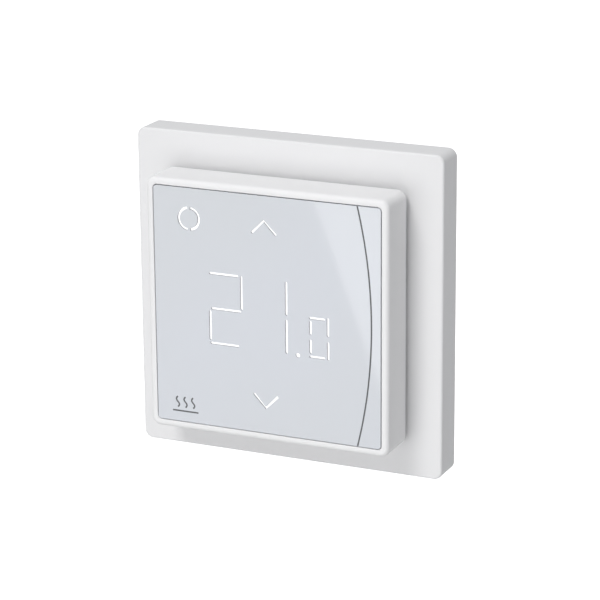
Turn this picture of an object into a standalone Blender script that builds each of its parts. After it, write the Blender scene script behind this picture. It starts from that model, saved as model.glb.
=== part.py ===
"""Flush wall thermostat for underfloor heating, built as an assembly of separate pieces.

Frame: +Z is up, +X is to the right as seen from the room, and -Y points out of the wall into the room.
The origin is the middle of the wall box, on the wall's surface. A distance called "out" is measured from
that surface towards the room, so y = -out, and a negative one lies inside the wall box.
"""

import math

import bmesh
import bpy
from mathutils import Matrix, Vector

MM = 0.001

# ---- Clearances -------------------------------------------------------------------------------------
SEAT_GAP = 0.3 * MM  # between pieces that rest on each other
SEAM_GAP = 0.2 * MM  # round the lens and round the back cover

# ---- Design frame -----------------------------------------------------------------------------------
FRAME_SIDE = 85.4 * MM
FRAME_DEPTH = 9.2 * MM
FRAME_CORNER = 2.6 * MM
FRAME_EDGE = 0.8 * MM
FRAME_WALL = 2.0 * MM
FRAME_FACE = 2.2 * MM
COLLAR_WALL = 1.6 * MM
REST_RING_WALL = 1.2 * MM

# ---- Display module ---------------------------------------------------------------------------------
DISPLAY_SIDE = 67.0 * MM
DISPLAY_FRONT = 22.6 * MM  # how far the rim stands out of the wall
DISPLAY_CORNER = 2.2 * MM
DISPLAY_EDGE = 1.1 * MM
SHADOW_GAP = 1.7 * MM  # from the frame's face to the housing's rear edge
HOUSING_WALL = 1.8 * MM
LEDGE_WIDTH = 2.4 * MM
LEDGE_THICKNESS = 1.3 * MM
LENS_THICKNESS = 1.6 * MM
LENS_CORNER = 1.5 * MM
LENS_EDGE = 0.15 * MM
TAPE_THICKNESS = 0.5 * MM
MASK_THICKNESS = 1.2 * MM
DIGIT_BLOCK_HEIGHT = 2.6 * MM
LIGHT_BAR_HEIGHT = 0.3 * MM
BOARD_THICKNESS = 1.6 * MM
FRAME_LAP = 6.0 * MM  # how far the housing overlaps the frame round its opening
PLUG_GAP = 1.0 * MM  # between the plug behind the display and the frame's opening
PLUG_STANDOFF = 0.4 * MM
BACK_WALL = 1.6 * MM
PLUG_FLOOR = 1.4 * MM

# The line across the lens: an arc through the middle of the right side, from top edge to bottom edge.
ARC_X_MIDDLE = 28.9 * MM
ARC_SAGITTA = 3.85 * MM
ARC_LINE_WIDTH = 0.45 * MM

# What the display shows. Digits: left, right, bottom and top centre lines of each.
DIGITS = {
    "tens": (-15.7 * MM, -6.8 * MM, -8.95 * MM, 9.7 * MM),
    "units": (-3.2 * MM, 5.7 * MM, -8.95 * MM, 9.7 * MM),
    "tenths": (12.35 * MM, 17.15 * MM, -9.15 * MM, 1.1 * MM),
}
MASK_BAR_WIDTH = 0.9 * MM
BAR_CLEARANCE = 0.2 * MM
POINT_AT = (8.8 * MM, -9.2 * MM)
POINT_RADIUS = 0.6 * MM
TOUCH_KEYS = {
    "mode": (-21.3 * MM, 23.4 * MM),
    "up": (-0.35 * MM, 23.3 * MM),
    "down": (-0.35 * MM, -22.8 * MM),
}
SPRING_RADIUS = 3.2 * MM
SPRING_WIRE = 0.5 * MM
SPRING_TURNS = 3.5

# ---- Base -------------------------------------------------------------------------------------------
PLATE_SIDE = 70.0 * MM
PLATE_THICKNESS = 1.2 * MM
PLATE_CORNER = 4.0 * MM
BOX_SCREW_SPACING = 60.0 * MM
BOX_SLOT_WIDTH = 4.0 * MM
BOX_SLOT_LENGTH = 9.0 * MM
FLANGE_THICKNESS = 1.6 * MM
FLANGE_LIP = 3.0 * MM
COVER_THICKNESS = 2.2 * MM
COVER_GAP = 1.5 * MM  # between the base cover and the frame's opening
TUB_DEPTH = 22.0 * MM
TUB_WALL = 1.6 * MM
TUB_CORNER = 6.0 * MM
TUB_POST = 4.0 * MM
TUB_TOP_STEP = 4.5 * MM  # from the flange's top edge down to the tub
TUB_BOTTOM_STEP = 6.5 * MM  # from the flange's bottom edge up to the tub
POWER_BOARD_FRONT = -0.4 * MM
BASE_SCREW_INSET = 3.5 * MM
BASE_SCREW_RADIUS = 1.1 * MM
BASE_SCREW_HEAD_RADIUS = 2.2 * MM
BASE_SCREW_HEAD_HEIGHT = 1.2 * MM

# ---- Terminals --------------------------------------------------------------------------------------
TERMINALS = 6
TERMINAL_PITCH = 6.6 * MM
CELL_WALL = 1.2 * MM
CELL_HEIGHT = 8.0 * MM
BLOCK_WALL = 1.5 * MM
BLOCK_REAR_WALL = 4.5 * MM
WIRE_ENTRY = 3.6 * MM
CAGE_CLEARANCE = 0.2 * MM
CAGE_SIDE_WALL = 0.7 * MM
CAGE_REAR_WALL = 1.2 * MM
CAGE_FRONT_WALL = 0.9 * MM
CAGE_HEIGHT = 6.0 * MM
CAGE_TRAVEL = 3.4 * MM
CLAMPED_GAP = 0.5 * MM
TAB_THICKNESS = 0.8 * MM
TERMINAL_SCREW_RADIUS = 1.45 * MM
TERMINAL_HEAD_RADIUS = 2.0 * MM
TERMINAL_HEAD_HEIGHT = 2.0 * MM

# ---- Plug-in connector between base and display ---------------------------------------------------------
HEADER_AT = (-10.0 * MM, 12.0 * MM)
PIN_ROWS = 2
PIN_COLUMNS = 4
PIN_PITCH = 2.54 * MM
PIN_SIDE = 0.64 * MM
PIN_HOLE_SIDE = 1.2 * MM
PIN_ENGAGEMENT = 4.0 * MM
HEADER_BASE_HEIGHT = 2.5 * MM
HEADER_MARGIN = 0.3 * MM

# ---- Release latch ----------------------------------------------------------------------------------
LATCH_Z = -15.0 * MM
LATCH_PIVOT_OUT = 9.8 * MM
LATCH_WIDTH = 6.0 * MM
LATCH_THICKNESS = 1.4 * MM
LATCH_LIP = 1.0 * MM
LATCH_TIP_OUT = 1.0 * MM
LATCH_PIN_RADIUS = 0.8 * MM
LATCH_SWING = math.radians(8)
LATCH_EAR = 1.6 * MM

# ---- Relay ------------------------------------------------------------------------------------------
RELAY_AT = (0.0 * MM, 11.8 * MM)
RELAY_LENGTH = 29.0 * MM
RELAY_WIDTH = 12.7 * MM
RELAY_FLOOR_GAP = 2.4 * MM  # between the relay and the tub's floor
RELAY_WALL = 0.6 * MM
RELAY_SHEET = 1.0 * MM
COIL_RADIUS = 4.4 * MM
COIL_CORE_RADIUS = 1.8 * MM
COIL_X = -7.0 * MM
ARMATURE_GAP = 0.9 * MM
CONTACT_GAP = 1.9 * MM
CONTACT_RADIUS = 1.5 * MM
CONTACT_STRIP_HALF = 2.0 * MM
CONTACT_SHEET = 0.4 * MM

# ---- Smoothness -------------------------------------------------------------------------------------
CORNER_STEPS = 4
EDGE_STEPS = 3
ROUND_STEPS = 16
SHARP_ANGLE = math.radians(30)
WELD = 0.001 * MM

# ---- Sizes worked out from those above ----------------------------------------------------------------
housing_rear = FRAME_DEPTH + SHADOW_GAP
cavity_side = DISPLAY_SIDE - 2 * HOUSING_WALL
lens_side = cavity_side - 2 * SEAM_GAP
ledge_opening = cavity_side - 2 * LEDGE_WIDTH
lens_rear = DISPLAY_FRONT - LENS_THICKNESS
tape_rear = lens_rear - SEAT_GAP - TAPE_THICKNESS
ledge_front = tape_rear - SEAT_GAP
ledge_rear = ledge_front - LEDGE_THICKNESS
mask_front = lens_rear - SEAT_GAP
mask_rear = mask_front - MASK_THICKNESS
light_bar_front = mask_rear - SEAT_GAP
block_front = light_bar_front - LIGHT_BAR_HEIGHT
block_rear = block_front - DIGIT_BLOCK_HEIGHT
board_front = block_rear - SEAT_GAP
board_rear = board_front - BOARD_THICKNESS
parts_front = board_rear - SEAT_GAP  # front of what is soldered behind the display board

frame_opening = DISPLAY_SIDE - 2 * FRAME_LAP
opening_corner = FRAME_CORNER
plug_side = frame_opening - 2 * PLUG_GAP
cover_side = frame_opening - 2 * COVER_GAP

flange_rear = PLATE_THICKNESS + SEAT_GAP
flange_front = flange_rear + FLANGE_THICKNESS
cover_rear = flange_front + SEAT_GAP
cover_front = cover_rear + COVER_THICKNESS
plug_rear = cover_front + PLUG_STANDOFF
plug_floor_front = plug_rear + PLUG_FLOOR
back_front = housing_rear + BACK_WALL

tub_width = cover_side - 2 * FLANGE_LIP
tub_top = cover_side / 2 - TUB_TOP_STEP
tub_bottom = -cover_side / 2 + TUB_BOTTOM_STEP
tub_floor = TUB_WALL - TUB_DEPTH
power_board_rear = POWER_BOARD_FRONT - BOARD_THICKNESS
base_parts_front = power_board_rear - SEAT_GAP  # front of what is soldered behind the power board

cell_width = TERMINAL_PITCH - CELL_WALL
terminal_block_width = TERMINALS * TERMINAL_PITCH + 2 * SEAT_GAP
cell_bottom = tub_bottom + BLOCK_WALL
cell_top = cell_bottom + CELL_HEIGHT
terminal_block_top = cell_top + BLOCK_WALL
cell_rear = BLOCK_REAR_WALL - TUB_DEPTH
cage_width = cell_width - 2 * CAGE_CLEARANCE
cage_clear_behind_tab = CAGE_TRAVEL + SEAT_GAP
cage_inner_length = cage_clear_behind_tab + TAB_THICKNESS + CLAMPED_GAP
cage_length = cage_inner_length + CAGE_REAR_WALL + CAGE_FRONT_WALL
cage_rear = cell_rear + SEAT_GAP + CAGE_TRAVEL  # at rest the clamp stands fully open
cage_bottom = cell_bottom + 2 * SEAT_GAP
cage_middle = cage_bottom + CAGE_HEIGHT / 2
tab_rear = cell_rear + SEAT_GAP + CAGE_REAR_WALL + cage_clear_behind_tab
tab_front = tab_rear + TAB_THICKNESS
tab_top = cage_bottom + CAGE_HEIGHT + SEAT_GAP + TAB_THICKNESS

socket_rear = plug_floor_front + SEAT_GAP
pin_tip = socket_rear + PIN_ENGAGEMENT
header_width = PIN_COLUMNS * PIN_PITCH + HEADER_MARGIN
header_height = PIN_ROWS * PIN_PITCH + HEADER_MARGIN

arc_radius = ((lens_side / 2) ** 2 + ARC_SAGITTA**2) / (2 * ARC_SAGITTA)


# ---- Scene and helpers --------------------------------------------------------------------------------
def clear_scene():
    for old in list(bpy.data.objects):
        bpy.data.objects.remove(old, do_unlink=True)


def new_collection(name):
    made = bpy.data.collections.new(name)
    bpy.context.scene.collection.children.link(made)
    return made


clear_scene()
PIECES = new_collection("wall_thermostat")
CUTTERS = new_collection("cutters")


def finish(obj, colour, roughness, metallic=0.0):
    """Applies a piece's modifiers, shades it and gives it its own material."""
    obj = as_mesh(obj)
    obj.data.shade_smooth()
    obj.data.set_sharp_from_angle(angle=SHARP_ANGLE)
    material = bpy.data.materials.new(obj.name)
    material.use_nodes = True
    shader = material.node_tree.nodes["Principled BSDF"]
    shader.inputs["Base Color"].default_value = (*colour, 1.0)
    shader.inputs["Roughness"].default_value = roughness
    shader.inputs["Metallic"].default_value = metallic
    obj.data.materials.clear()
    obj.data.materials.append(material)
    return obj


WHITE = (0.88, 0.88, 0.88)
SCREEN = (0.72, 0.75, 0.78)
STEEL = (0.55, 0.56, 0.58)
BRASS = (0.72, 0.58, 0.30)
COPPER = (0.72, 0.38, 0.20)
BOARD_GREEN = (0.05, 0.22, 0.10)
BLACK = (0.03, 0.03, 0.03)
PALE_GREY = (0.62, 0.64, 0.66)
BLUE = (0.05, 0.12, 0.35)
YELLOW = (0.75, 0.55, 0.06)


def link(name, mesh, location=(0, 0, 0), helper=False):
    obj = bpy.data.objects.new(name, mesh)
    (CUTTERS if helper else PIECES).objects.link(obj)
    obj.location = location
    if helper:
        obj.hide_render = True
        obj.display_type = "WIRE"
    return obj


def mesh_from(name, bm):
    mesh = bpy.data.meshes.new(name)
    bm.to_mesh(mesh)
    bm.free()
    return mesh


def slab(name, width, height, out_from, out_to, at=(0, 0), corner=0.0, edge=0.0, helper=False):
    """A plate or block parallel to the wall. corner rounds its four corners, edge its front outline."""
    depth = out_to - out_from
    bm = bmesh.new()
    bmesh.ops.create_cube(bm, size=1)
    bmesh.ops.scale(bm, vec=(width, depth, height), verts=bm.verts)
    if corner > 0:
        upright = [e for e in bm.edges if abs(e.verts[0].co.y - e.verts[1].co.y) > depth / 2]
        bmesh.ops.bevel(
            bm, geom=upright, offset=corner, segments=CORNER_STEPS, profile=0.5, affect="EDGES"
        )
    if edge > 0:
        front = [e for e in bm.edges if all(v.co.y < -depth / 2 + depth / 1000 for v in e.verts)]
        bmesh.ops.bevel(bm, geom=front, offset=edge, segments=EDGE_STEPS, profile=0.5, affect="EDGES")
    middle = (at[0], -(out_from + out_to) / 2, at[1])
    return link(name, mesh_from(name, bm), middle, helper)


def boxes(name, ranges, helper=True):
    """One object of separate boxes, each given as its x, out and z ranges."""
    bm = bmesh.new()
    for (x0, x1), (out0, out1), (z0, z1) in ranges:
        made = bmesh.ops.create_cube(bm, size=1)["verts"]
        bmesh.ops.scale(bm, vec=(x1 - x0, out1 - out0, z1 - z0), verts=made)
        bmesh.ops.translate(bm, vec=((x0 + x1) / 2, -(out0 + out1) / 2, (z0 + z1) / 2), verts=made)
    return link(name, mesh_from(name, bm), helper=helper)


def rods(name, places, radius, out_from, out_to, steps=ROUND_STEPS, helper=True):
    """One object of separate round rods that stand square to the wall, one at each (x, z) place."""
    bm = bmesh.new()
    turn = Matrix.Rotation(math.pi / 2, 4, "X")
    for x, z in places:
        move = Matrix.Translation((x, -(out_from + out_to) / 2, z))
        bmesh.ops.create_cone(
            bm,
            cap_ends=True,
            segments=steps,
            radius1=radius,
            radius2=radius,
            depth=out_to - out_from,
            matrix=move @ turn,
        )
    return link(name, mesh_from(name, bm), helper=helper)


def cross_rod(name, radius, length, out, z, steps=ROUND_STEPS, helper=True):
    """A round rod along X, centred on the middle plane."""
    bm = bmesh.new()
    place = Matrix.Translation((0, -out, z)) @ Matrix.Rotation(math.pi / 2, 4, "Y")
    bmesh.ops.create_cone(
        bm, cap_ends=True, segments=steps, radius1=radius, radius2=radius, depth=length, matrix=place
    )
    return link(name, mesh_from(name, bm), helper=helper)


def turned(name, profile, out, at=(0, 0), steps=ROUND_STEPS, ring=False):
    """A turned piece whose axis stands square to the wall. The profile holds (radius, height) pairs that
    run down its outer side from the room end, and ring joins its ends where the piece has a bore."""
    bm = bmesh.new()
    points = [bm.verts.new((radius, 0, height)) for radius, height in profile]
    for first, second in zip(points, points[1:]):
        bm.edges.new((first, second))
    if ring:
        bm.edges.new((points[-1], points[0]))
    obj = link(name, mesh_from(name, bm), (at[0], -out, at[1]))
    obj.rotation_euler = (math.pi / 2, 0, 0)
    screw = obj.modifiers.new("Screw", "SCREW")
    screw.steps = steps
    screw.render_steps = steps
    screw.use_merge_vertices = True
    screw.merge_threshold = 0.00001
    return obj


def tube(name, points, radius, resolution=2):
    """A round wire through the points, as a curve with closed ends."""
    curve = bpy.data.curves.new(name, "CURVE")
    curve.dimensions = "3D"
    curve.bevel_depth = radius
    curve.bevel_resolution = resolution
    curve.use_fill_caps = True
    spline = curve.splines.new("POLY")
    spline.points.add(len(points) - 1)
    for point, place in zip(spline.points, points):
        point.co = (*place, 1)
    return link(name, curve)


def as_mesh(obj, helper=False):
    """The same piece as a plain mesh, with its modifiers applied and a curve's caps welded on."""
    bpy.context.view_layer.update()
    graph = bpy.context.evaluated_depsgraph_get()
    mesh = bpy.data.meshes.new_from_object(obj.evaluated_get(graph))
    bm = bmesh.new()
    bm.from_mesh(mesh)
    bmesh.ops.remove_doubles(bm, verts=bm.verts, dist=WELD)
    bm.to_mesh(mesh)
    bm.free()
    name, matrix = obj.name, obj.matrix_world.copy()
    bpy.data.objects.remove(obj, do_unlink=True)
    made = link(name, mesh, helper=helper)
    made.matrix_world = matrix
    return made


def move_origin(obj, x, out, z):
    """Puts a piece's origin on its joint's axis and leaves its shape where it is."""
    origin = Vector((x, -out, z))
    obj.data.transform(Matrix.Translation(obj.location - origin))
    obj.location = origin


def boolean(obj, other, operation):
    modifier = obj.modifiers.new(other.name, "BOOLEAN")
    modifier.operation = operation
    modifier.solver = "EXACT"
    modifier.object = other
    return obj


def cut(obj, *cutters):
    for cutter in cutters:
        boolean(obj, cutter, "DIFFERENCE")
    return obj


def join(obj, *others):
    for other in others:
        boolean(obj, other, "UNION")
    return obj


# ---- What the display shows -----------------------------------------------------------------------------
def segment_lines(left, right, bottom, top):
    """Ends of the seven bars of a digit, as ((x, z), (x, z)). The right bars own the right corners, and
    the level bars own the left ones."""
    middle = (bottom + top) / 2
    short = 0.85 * MM
    gap = 0.65 * MM
    return [
        ((left, top), (right - short, top)),
        ((right, top), (right, middle + gap)),
        ((right, middle - gap), (right, bottom)),
        ((left, bottom), (right - short, bottom)),
        ((left, middle - gap), (left, bottom + short)),
        ((left, top - short), (left, middle + gap)),
        ((left + gap / 2, middle), (right, middle)),
    ]


def bars(name, lines, width, out_from, out_to, helper=True):
    """Long hexagonal bars with pointed ends along the given lines, as one object."""
    bm = bmesh.new()
    for start, end in lines:
        first, last = Vector((start[0], start[1])), Vector((end[0], end[1]))
        along = (last - first).normalized()
        across = Vector((-along.y, along.x)) * (width / 2)
        inset = along * (width / 2)
        outline = [
            first,
            first + inset - across,
            last - inset - across,
            last,
            last - inset + across,
            first + inset + across,
        ]
        face = bm.faces.new([bm.verts.new((p.x, -out_from, p.y)) for p in outline])
        raised = bmesh.ops.extrude_face_region(bm, geom=[face])["geom"]
        tops = [part for part in raised if isinstance(part, bmesh.types.BMVert)]
        bmesh.ops.translate(bm, vec=(0, out_from - out_to, 0), verts=tops)
    bmesh.ops.recalc_face_normals(bm, faces=bm.faces)
    return link(name, mesh_from(name, bm), helper=helper)


# ---- Display module -------------------------------------------------------------------------------------
def front_housing():
    housing = slab(
        "front_housing",
        DISPLAY_SIDE,
        DISPLAY_SIDE,
        housing_rear,
        DISPLAY_FRONT,
        corner=DISPLAY_CORNER,
        edge=DISPLAY_EDGE,
    )
    inner_corner = DISPLAY_CORNER - HOUSING_WALL / 2
    cavity = slab(
        "housing_cavity",
        cavity_side,
        cavity_side,
        housing_rear - SEAT_GAP,
        board_front + SEAT_GAP,
        corner=inner_corner,
        helper=True,
    )
    post = 5.0 * MM
    reach = cavity_side - 2 * post
    upper_level = (board_front, ledge_rear)
    full, short = (-cavity_side / 2, cavity_side / 2), (-reach / 2, reach / 2)
    wide = boxes("housing_upper_wide", [(full, upper_level, short)])
    tall = boxes("housing_upper_tall", [(short, upper_level, full)])
    window = slab(
        "housing_window",
        ledge_opening,
        ledge_opening,
        board_front,
        DISPLAY_FRONT + SEAT_GAP,
        corner=LENS_CORNER,
        helper=True,
    )
    pocket = slab(
        "lens_pocket",
        cavity_side,
        cavity_side,
        ledge_front,
        DISPLAY_FRONT + SEAT_GAP,
        corner=LENS_CORNER + SEAM_GAP,
        helper=True,
    )
    # A tool goes in here to press the release latch.
    tool_slot = boxes(
        "tool_slot",
        [
            (
                (-1.9 * MM, 1.9 * MM),
                (back_front + 0.2 * MM, parts_front - 0.1 * MM),
                (-DISPLAY_SIDE / 2 - HOUSING_WALL, -DISPLAY_SIDE / 2 + 2 * HOUSING_WALL),
            )
        ],
    )
    cut(housing, cavity, wide, tall, window, pocket, tool_slot)
    return finish(housing, WHITE, 0.35)


def touch_lens():
    lens = slab(
        "touch_lens",
        lens_side,
        lens_side,
        lens_rear,
        DISPLAY_FRONT,
        corner=LENS_CORNER,
        edge=LENS_EDGE,
    )
    # A shallow groove along the arc, cut a little past both edges.
    centre_x = ARC_X_MIDDLE - arc_radius
    half_angle = math.asin((lens_side / 2 + ARC_LINE_WIDTH) / arc_radius)
    steps = 16
    points = []
    for step in range(steps + 1):
        angle = half_angle * (2 * step / steps - 1)
        points.append((centre_x + arc_radius * math.cos(angle), -DISPLAY_FRONT, arc_radius * math.sin(angle)))
    groove = as_mesh(tube("arc_groove", points, ARC_LINE_WIDTH / 2, resolution=1), helper=True)
    cut(lens, groove)
    return finish(lens, SCREEN, 0.08)


def lens_tape():
    outer = lens_side - 2 * SEAT_GAP
    tape = slab("lens_tape", outer, outer, tape_rear, lens_rear - SEAT_GAP, corner=LENS_CORNER)
    inner = ledge_opening + 2 * SEAT_GAP
    hole = slab(
        "lens_tape_hole",
        inner,
        inner,
        tape_rear - SEAT_GAP,
        lens_rear,
        corner=LENS_CORNER,
        helper=True,
    )
    cut(tape, hole)
    return finish(tape, BLACK, 0.8)


def light_mask():
    side = ledge_opening - 2 * SEAT_GAP
    mask = slab("light_mask", side, side, mask_rear, mask_front, corner=LENS_CORNER)
    past = (mask_rear - SEAT_GAP, mask_front + SEAT_GAP)
    lines = [line for digit in DIGITS.values() for line in segment_lines(*digit)]
    slots = bars("mask_slots", lines, MASK_BAR_WIDTH, *past)
    key_holes = rods("mask_key_holes", TOUCH_KEYS.values(), SPRING_RADIUS + SPRING_WIRE + SEAT_GAP, *past)
    point_hole = rods("mask_point_hole", [POINT_AT], POINT_RADIUS, *past, steps=8)
    cut(mask, slots, key_holes, point_hole)
    return finish(mask, BLACK, 0.7)


def digit_block(name, digit):
    left, right, bottom, top = digit
    margin = 1.3 * MM
    block = slab(
        f"digit_block_{name}",
        right - left + 2 * margin,
        top - bottom + 2 * margin,
        block_rear,
        block_front,
        at=((left + right) / 2, (bottom + top) / 2),
    )
    raised = bars(
        f"light_bars_{name}",
        segment_lines(*digit),
        MASK_BAR_WIDTH - 2 * BAR_CLEARANCE,
        block_front - LIGHT_BAR_HEIGHT,
        light_bar_front,
    )
    join(block, raised)
    return finish(block, WHITE, 0.4)


def touch_spring(name, key):
    x, z = TOUCH_KEYS[key]
    low = board_front + SEAT_GAP + SPRING_WIRE / 2
    high = lens_rear - SEAT_GAP - SPRING_WIRE / 2
    steps_per_turn = 10
    steps = round(SPRING_TURNS * steps_per_turn)
    points = []
    for step in range(steps + 1):
        angle = 2 * math.pi * step / steps_per_turn
        out = low + (high - low) * step / steps
        points.append((x + SPRING_RADIUS * math.cos(angle), -out, z + SPRING_RADIUS * math.sin(angle)))
    spring = as_mesh(tube(name, points, SPRING_WIRE / 2, resolution=1))
    return finish(spring, STEEL, 0.3, 1.0)


def display_board():
    side = cavity_side - 2 * SEAM_GAP
    board = slab("display_board", side, side, board_rear, board_front, corner=LENS_CORNER)
    return finish(board, BOARD_GREEN, 0.4)


def radio_module():
    at = (11.0 * MM, 11.0 * MM)
    carrier_rear = parts_front - 0.8 * MM
    can_rear = carrier_rear - 2.0 * MM
    carrier = slab("radio_module", 18.0 * MM, 18.0 * MM, carrier_rear, parts_front, at=at)
    can = slab(
        "radio_can",
        16.0 * MM,
        12.0 * MM,
        can_rear,
        carrier_rear + 0.2 * MM,
        at=(at[0], at[1] - 2.2 * MM),
        corner=0.6 * MM,
        helper=True,
    )
    join(carrier, can)
    return finish(carrier, STEEL, 0.35, 1.0)


def controller_chip():
    chip = slab(
        "controller_chip",
        7.0 * MM,
        7.0 * MM,
        parts_front - 1.2 * MM,
        parts_front,
        at=(9.0 * MM, -7.0 * MM),
        corner=0.3 * MM,
    )
    return finish(chip, BLACK, 0.5)


def backup_capacitor():
    radius, height, rim = 5.2 * MM, 5.0 * MM, 0.5 * MM
    profile = [
        (0, height),
        (radius, height),
        (radius, rim),
        (radius - rim, 0),
        (0, 0),
    ]
    obj = turned("backup_capacitor", profile, parts_front - height, at=(-14.0 * MM, -4.0 * MM))
    return finish(obj, BLUE, 0.4)


def room_sensor():
    radius = 0.6 * MM
    bead_at = Vector((21.0 * MM, -(parts_front - radius), -29.0 * MM))
    bm = bmesh.new()
    bmesh.ops.create_uvsphere(
        bm, u_segments=10, v_segments=6, radius=radius, matrix=Matrix.Translation(bead_at)
    )
    bead = link("room_sensor", mesh_from("room_sensor", bm))
    # Two leads run from the bead along the board.
    half_lead, pitch, length = 0.14 * MM, 0.5 * MM, 4.0 * MM
    lead_out = (parts_front - radius - half_lead, parts_front - radius + half_lead)
    leads = boxes(
        "sensor_leads",
        [
            (
                (bead_at.x + side * pitch / 2 - half_lead, bead_at.x + side * pitch / 2 + half_lead),
                lead_out,
                (bead_at.z, bead_at.z + length),
            )
            for side in (-1, 1)
        ],
    )
    join(bead, leads)
    return finish(bead, BLACK, 0.3)


def pin_places():
    x, z = HEADER_AT
    return [
        (
            x + (column - (PIN_COLUMNS - 1) / 2) * PIN_PITCH,
            z + (row - (PIN_ROWS - 1) / 2) * PIN_PITCH,
        )
        for row in range(PIN_ROWS)
        for column in range(PIN_COLUMNS)
    ]


def square_rods(name, side, out_from, out_to):
    """Square rods at every pin's place, as one object."""
    half = side / 2
    return boxes(
        name, [((x - half, x + half), (out_from, out_to), (z - half, z + half)) for x, z in pin_places()]
    )


def board_socket():
    socket = slab("board_socket", header_width, header_height, socket_rear, parts_front, at=HEADER_AT)
    holes = square_rods("socket_holes", PIN_HOLE_SIDE, socket_rear - SEAT_GAP, pin_tip + 2 * SEAT_GAP)
    cut(socket, holes)
    return finish(socket, BLACK, 0.5)


def display_back_cover():
    side = cavity_side - 2 * SEAM_GAP
    cover = slab("display_back_cover", side, side, housing_rear, back_front, corner=LENS_CORNER)
    plug = slab(
        "plug_outside",
        plug_side,
        plug_side,
        plug_rear,
        back_front - SEAT_GAP,
        corner=opening_corner,
        helper=True,
    )
    hollow_side = plug_side - 2 * BACK_WALL
    hollow = slab(
        "plug_hollow",
        hollow_side,
        hollow_side,
        plug_floor_front,
        back_front + SEAT_GAP,
        corner=opening_corner - BACK_WALL / 2,
        helper=True,
    )
    # Pads on the flange press the frame home, and corner posts carry the board.
    pad_long, pad_short = 8.0 * MM, 2.6 * MM
    pad_middle = plug_side / 2 + 2.6 * MM
    pad_out = (FRAME_DEPTH + SEAT_GAP, housing_rear + SEAT_GAP)
    span = {
        "long": (-pad_long / 2, pad_long / 2),
        "high": (pad_middle - pad_short / 2, pad_middle + pad_short / 2),
        "low": (-pad_middle - pad_short / 2, -pad_middle + pad_short / 2),
    }
    pads = boxes(
        "frame_pads",
        [
            (span["high"], pad_out, span["long"]),
            (span["low"], pad_out, span["long"]),
            (span["long"], pad_out, span["high"]),
            (span["long"], pad_out, span["low"]),
        ],
    )
    post_middle, post_half = side / 2 - 2.6 * MM, 1.6 * MM
    posts = boxes(
        "board_posts",
        [
            (
                (sx * post_middle - post_half, sx * post_middle + post_half),
                (back_front - SEAT_GAP, parts_front),
                (sz * post_middle - post_half, sz * post_middle + post_half),
            )
            for sx in (-1, 1)
            for sz in (-1, 1)
        ],
    )
    # Two tongues behind the plug locate the display on the base.
    tongues = boxes("locating_tongues", tongue_ranges(0.0, (LATCH_TIP_OUT, plug_rear + SEAT_GAP)))
    ear_inner = LATCH_WIDTH / 2 + SEAT_GAP
    ear_outer = ear_inner + LATCH_EAR
    ear_out = (plug_floor_front - SEAT_GAP, LATCH_PIVOT_OUT + 2 * LATCH_PIN_RADIUS)
    ear_z = (LATCH_Z - 2 * LATCH_PIN_RADIUS, LATCH_Z + 2 * LATCH_PIN_RADIUS)
    ears = boxes(
        "latch_ears",
        [(x_range, ear_out, ear_z) for x_range in ((-ear_outer, -ear_inner), (ear_inner, ear_outer))],
    )
    ear_hole = cross_rod(
        "latch_ear_hole",
        LATCH_PIN_RADIUS + SEAT_GAP,
        LATCH_WIDTH + 4 * LATCH_EAR,
        LATCH_PIVOT_OUT,
        LATCH_Z,
        steps=12,
    )
    pin_window = slab(
        "plug_pin_window",
        header_width,
        header_height,
        plug_rear - SEAT_GAP,
        plug_floor_front + SEAT_GAP,
        at=HEADER_AT,
        helper=True,
    )
    latch_window = boxes("plug_latch_window", [latch_window_range(plug_rear, plug_floor_front)])
    join(cover, plug)
    cut(cover, hollow)
    join(cover, pads, posts, tongues, ears)
    cut(cover, ear_hole, pin_window, latch_window)
    return finish(cover, PALE_GREY, 0.5)


def tongue_ranges(clearance, out_range):
    """The two tongues' boxes, or with a clearance the slots that they go through."""
    middle_x, half_x, middle_z, half_z = 13.0 * MM, 4.0 * MM, 17.6 * MM, 0.7 * MM
    return [
        (
            (side * middle_x - half_x - clearance, side * middle_x + half_x + clearance),
            out_range,
            (middle_z - half_z - clearance, middle_z + half_z + clearance),
        )
        for side in (-1, 1)
    ]


def latch_window_range(out_from, out_to):
    """The window that the latch reaches through, with room for its swing and for its lip."""
    swing = (LATCH_PIVOT_OUT - LATCH_TIP_OUT) * math.sin(LATCH_SWING)
    return (
        (-LATCH_WIDTH / 2 - SEAT_GAP, LATCH_WIDTH / 2 + SEAT_GAP),
        (out_from - SEAT_GAP, out_to + SEAT_GAP),
        (
            LATCH_Z - LATCH_THICKNESS / 2 - swing - SEAT_GAP,
            LATCH_Z + LATCH_THICKNESS / 2 + LATCH_LIP + SEAT_GAP,
        ),
    )


def release_latch():
    """A lever on a cross pin. Its front end is pressed up through the tool slot, and its hook goes down."""
    front = parts_front - SEAT_GAP
    half = LATCH_THICKNESS / 2
    latch = boxes(
        "release_latch",
        [((-LATCH_WIDTH / 2, LATCH_WIDTH / 2), (LATCH_TIP_OUT, front), (LATCH_Z - half, LATCH_Z + half))],
        helper=False,
    )
    hook = latch_hook()
    pin = cross_rod(
        "latch_pin", LATCH_PIN_RADIUS, LATCH_WIDTH + 2 * LATCH_EAR, LATCH_PIVOT_OUT, LATCH_Z, steps=12
    )
    join(latch, hook, pin)
    latch = finish(latch, PALE_GREY, 0.45)
    move_origin(latch, 0, LATCH_PIVOT_OUT, LATCH_Z)
    return latch


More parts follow.
